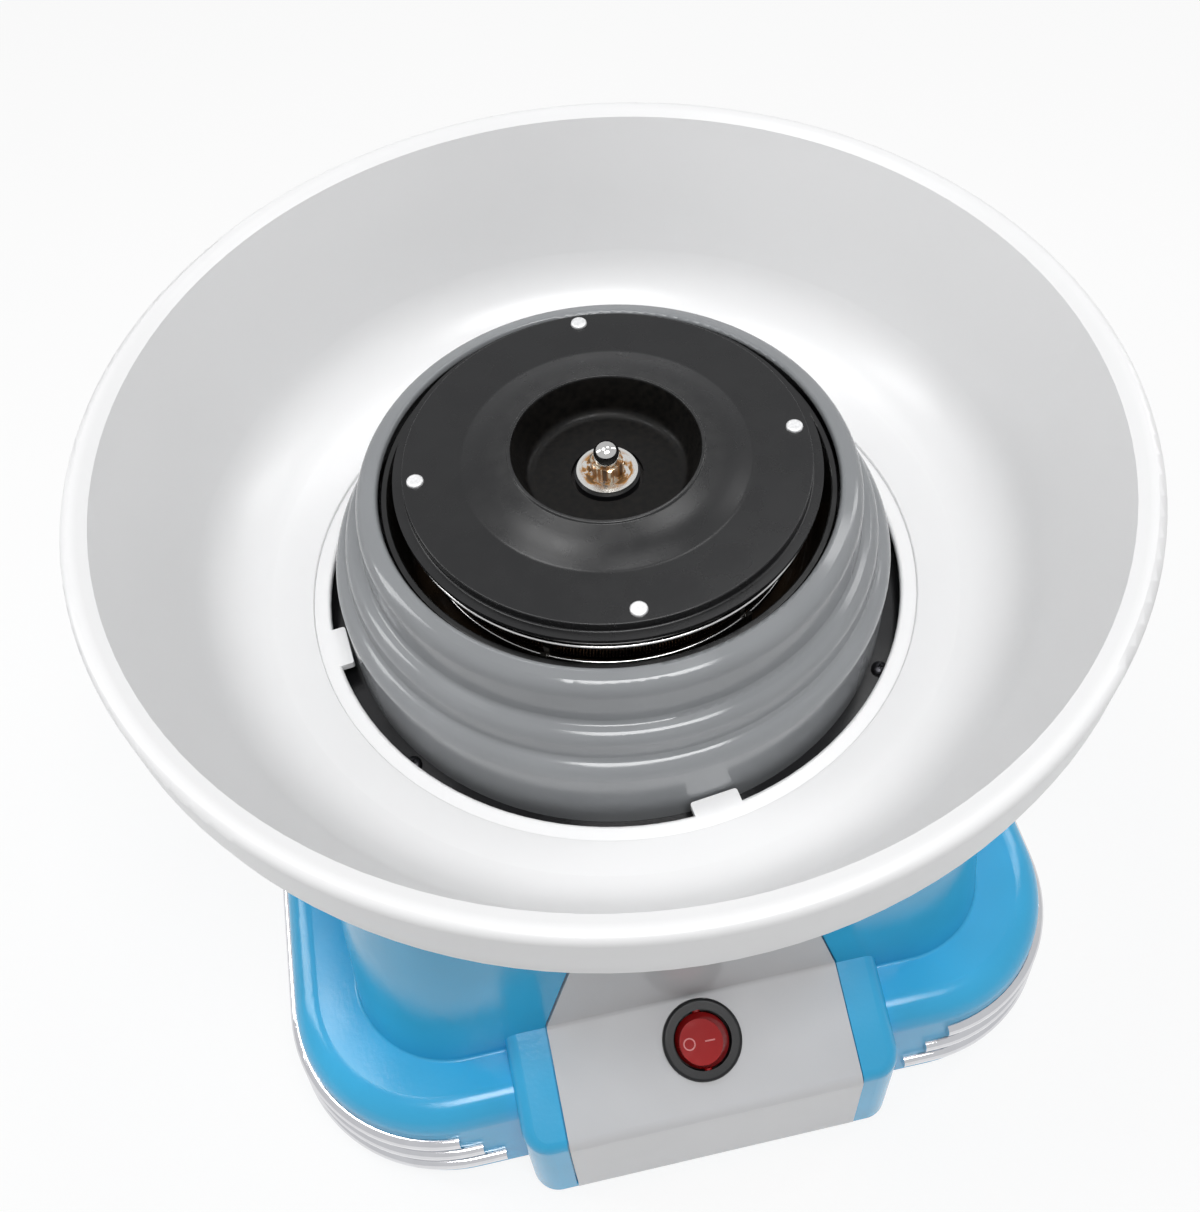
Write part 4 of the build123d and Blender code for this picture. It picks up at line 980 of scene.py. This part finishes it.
# %% The switch's own directions
TILT_JOINT = next(joint for joint in frame["joints"] if joint["name"] == "rocker_tilt")
SWITCH = Vector(TILT_JOINT["pos_m"])
ACROSS = Vector(TILT_JOINT["axis"])
RIGHT = Vector((1, 0, 0))
OUT = RIGHT.cross(ACROSS)
ABOVE_FACE = 30 * MM


def face_of(node):
    """Search tree of a solid's surface."""
    mesh = frame["nodes"][node].data
    return BVHTree.FromPolygons([v.co for v in mesh.vertices], [list(p.vertices) for p in mesh.polygons])


def print_on(surface, flat, lift):
    """Drop flat coordinates, in millimetres from the switch's middle, on a surface."""
    start = SWITCH + (RIGHT * flat[0] + ACROSS * flat[1]) * MM + OUT * ABOVE_FACE
    hit = surface.ray_cast(start, -OUT)[0]
    return hit + OUT * lift * MM


print("the switch looks along", [round(part, 3) for part in OUT])

# %% A printed strip
SUNK, PROUD = -0.05, 0.03  # below and above the rocker's face


def printed_strip(name, inner, outer, closed, finish):
    """Thin raised strip between two flat lines on the rocker's face."""
    surface = face_of("rocker")
    bm = bmesh.new()
    rails = []
    for line, lift in ((inner, SUNK), (inner, PROUD), (outer, PROUD), (outer, SUNK)):
        rails.append([bm.verts.new(print_on(surface, point, lift)) for point in line])
    count = len(inner)
    for rail, other in zip(rails, rails[1:] + rails[:1]):
        for i in range(count if closed else count - 1):
            j = (i + 1) % count
            bm.faces.new((rail[i], rail[j], other[j], other[i]))
    if not closed:
        bm.faces.new([rail[0] for rail in rails])
        bm.faces.new([rail[-1] for rail in rails])
    bmesh.ops.recalc_face_normals(bm, faces=bm.faces)
    mesh = mesh_of(bm, name)
    mesh.materials.append(finish)
    mesh.shade_smooth()
    piece = link(mesh, name)
    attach(piece, "rocker")
    print(f"{name}: {len(mesh.polygons)} faces")


print("strips can be printed")

# %% Print the ring and the bar
RING_MIDDLE, RING_INSIDE, RING_OUTSIDE, RING_STEPS = -4.3, 1.40, 1.80, 48
BAR_START, BAR_LENGTH, BAR_HALF_WIDTH, BAR_STEPS = 0.3, 2.9, 0.2, 8


def ring_line(radius):
    """Closed circle of flat points."""
    angles = [i * math.tau / RING_STEPS for i in range(RING_STEPS)]
    return [(RING_MIDDLE + radius * math.cos(a), radius * math.sin(a)) for a in angles]


def bar_line(side):
    """Straight row of flat points on one side of the bar."""
    places = [BAR_START + BAR_LENGTH * i / BAR_STEPS for i in range(BAR_STEPS + 1)]
    return [(x, side * BAR_HALF_WIDTH) for x in places]


PRINT = moulded("mark_pink", (0.80, 0.30, 0.30), 0.35, grain=0.3, depth=0.01)
printed_strip("off_ring", ring_line(RING_INSIDE), ring_line(RING_OUTSIDE), True, PRINT)
printed_strip("on_bar", bar_line(-1), bar_line(1), False, PRINT)

# %% [markdown]
# ## Floor, light and camera
# The machine was photographed from above on white. A floor lit to pure white
# would need so much light that the white bowl burns out. So the floor is
# pale, and what the camera and mirrors see of it is mixed with a plain glow,
# which makes it nearly white and leaves a faint shadow.

# %% Floor
GLOW_SHARE = 0.85
FLOOR_HALF = 6.0


def mirror_rays(tree, path):
    """One where a ray comes by way of a mirror or through glass."""
    return math_of(tree, "MAXIMUM", path["Is Glossy Ray"], path["Is Transmission Ray"])


def floor_white():
    """Pale floor that keeps the shadow but shows nearly white."""
    material, tree, shader, place = start_finish("floor_white", Roughness=0.9, Specular_IOR_Level=0.1)
    pale, paler = (0.94,) * 3, (0.96,) * 3
    dress(tree, shader, Base_Color=shades(tree, spots(tree, place, 300), (0.4, pale), (0.6, paler)))
    glow = add(tree, "Emission", Strength=1.0)
    path = add(tree, "LightPath").outputs
    seen = math_of(tree, "MAXIMUM", path["Is Camera Ray"], mirror_rays(tree, path))
    mix = add(tree, "MixShader", Fac=math_of(tree, "MULTIPLY", seen, GLOW_SHARE))
    tree.links.new(shader.outputs[0], mix.inputs[1])
    tree.links.new(glow.outputs[0], mix.inputs[2])
    tree.links.new(mix.outputs[0], tree.nodes["Material Output"].inputs[0])
    return material


corners = [(x * FLOOR_HALF, y * FLOOR_HALF, 0) for x, y in ((-1, -1), (1, -1), (1, 1), (-1, 1))]
floor_mesh = bpy.data.meshes.new("floor")
floor_mesh.from_pydata(corners, [], [(0, 1, 2, 3)])
floor_mesh.materials.append(floor_white())
link(floor_mesh, "floor")
print("floor is", 2 * FLOOR_HALF, "m wide")

# %% [markdown]
# A large soft lamp hangs high in front. It gives the bowl its shading and
# the cap's cone its two soft glints. Two small ones high behind brighten the
# back of the ring, and one on each side draws long lights along the plastic.
# One bright sky could light it all, but then every side would look alike. So
# the sky gives little light, and only looks white to the camera and bright in
# reflections, as a white studio would.

# %% Lamps
def lamp(name, place, aim, size, watts):
    """Soft rectangular lamp turned to a point."""
    light = bpy.data.lights.new(name, "AREA")
    light.shape = "RECTANGLE"
    light.size, light.size_y = size
    light.energy = watts
    thing = link(light, name)
    thing.location = place
    thing.rotation_euler = (Vector(aim) - Vector(place)).to_track_quat("-Z", "Y").to_euler()


MIDDLE, LOW_FRONT = (0, 0, 0.1), (0, -0.05, 0.08)
LAMPS = [  # name, place, aim, width and height, watts
    ("front_high", (0.05, -0.45, 1.35), LOW_FRONT, (0.70, 0.40), 10.4),
    ("high_left", (-0.30, 0.24, 1.29), MIDDLE, (0.34, 0.34), 2.5),
    ("high_right", (0.33, 0.42, 1.29), MIDDLE, (0.25, 0.25), 1.0),
    ("left", (-1.0, 0.35, 0.80), LOW_FRONT, (0.25, 0.8), 3.4),
    ("right", (1.0, 0.35, 0.80), LOW_FRONT, (0.15, 0.8), 1.8),
]
for row in LAMPS:
    lamp(*row)
print(len(LAMPS), "lamps,", round(sum(row[-1] for row in LAMPS), 1), "watts")


# %% Sky
def studio_sky(strength, mirrored):
    """Dim white sky that looks white to the camera and bright in reflections."""
    sky = bpy.context.scene.world or bpy.data.worlds.new("sky")
    bpy.context.scene.world = sky
    sky.use_nodes = True
    tree = sky.node_tree
    path = add(tree, "LightPath").outputs
    extra = math_of(tree, "MULTIPLY", mirror_rays(tree, path), mirrored - strength)
    level = math_of(tree, "ADD", strength, extra)
    level = math_of(tree, "MAXIMUM", level, path["Is Camera Ray"])
    background = tree.nodes["Background"]
    background.inputs["Color"].default_value = (0.97, 0.98, 1.0, 1.0)
    tree.links.new(level, background.inputs["Strength"])


studio_sky(strength=0.12, mirrored=0.75)
print("sky ready")

# %% [markdown]
# The camera could be placed by eye. Its place was worked out instead: the
# rims of the bowl, the guard ring and the cap are circles, and the ellipses
# that they make in the picture give its angles and its distance. A lens is
# its focal length in pixels over the picture's height, times the sensor's.

# %% Camera
TURN, HEIGHT, TILT = (math.radians(angle) for angle in (-8.16, 55.01, -4.41))
TARGET = Vector((-7.83, -22.59, 153.0)) * MM
DISTANCE = 331.5 * MM
FOCAL_PIXELS, PICTURE_HEIGHT, SENSOR = 1251.0, 1212.0, 36.0
back = Vector((math.sin(TURN) * math.cos(HEIGHT), -math.cos(TURN) * math.cos(HEIGHT), math.sin(HEIGHT)))
side = Vector((0, 0, 1)).cross(back).normalized()
up = back.cross(side)
right_way = side * math.cos(TILT) + up * math.sin(TILT)
up_way = up * math.cos(TILT) - side * math.sin(TILT)
camera_data = bpy.data.cameras.new("camera")
camera_data.sensor_fit = "VERTICAL"
camera_data.sensor_height = SENSOR
camera_data.lens = FOCAL_PIXELS / PICTURE_HEIGHT * SENSOR
camera_data.clip_start = 0.01
camera = link(camera_data, "camera")
turn = Matrix((right_way, up_way, back)).transposed()
camera.matrix_world = Matrix.Translation(TARGET + back * DISTANCE) @ turn.to_4x4()
bpy.context.scene.camera = camera
bpy.context.scene.view_settings.view_transform = "Standard"
print("lens", round(camera_data.lens, 2), "mm at", round(DISTANCE, 4), "m from its target")
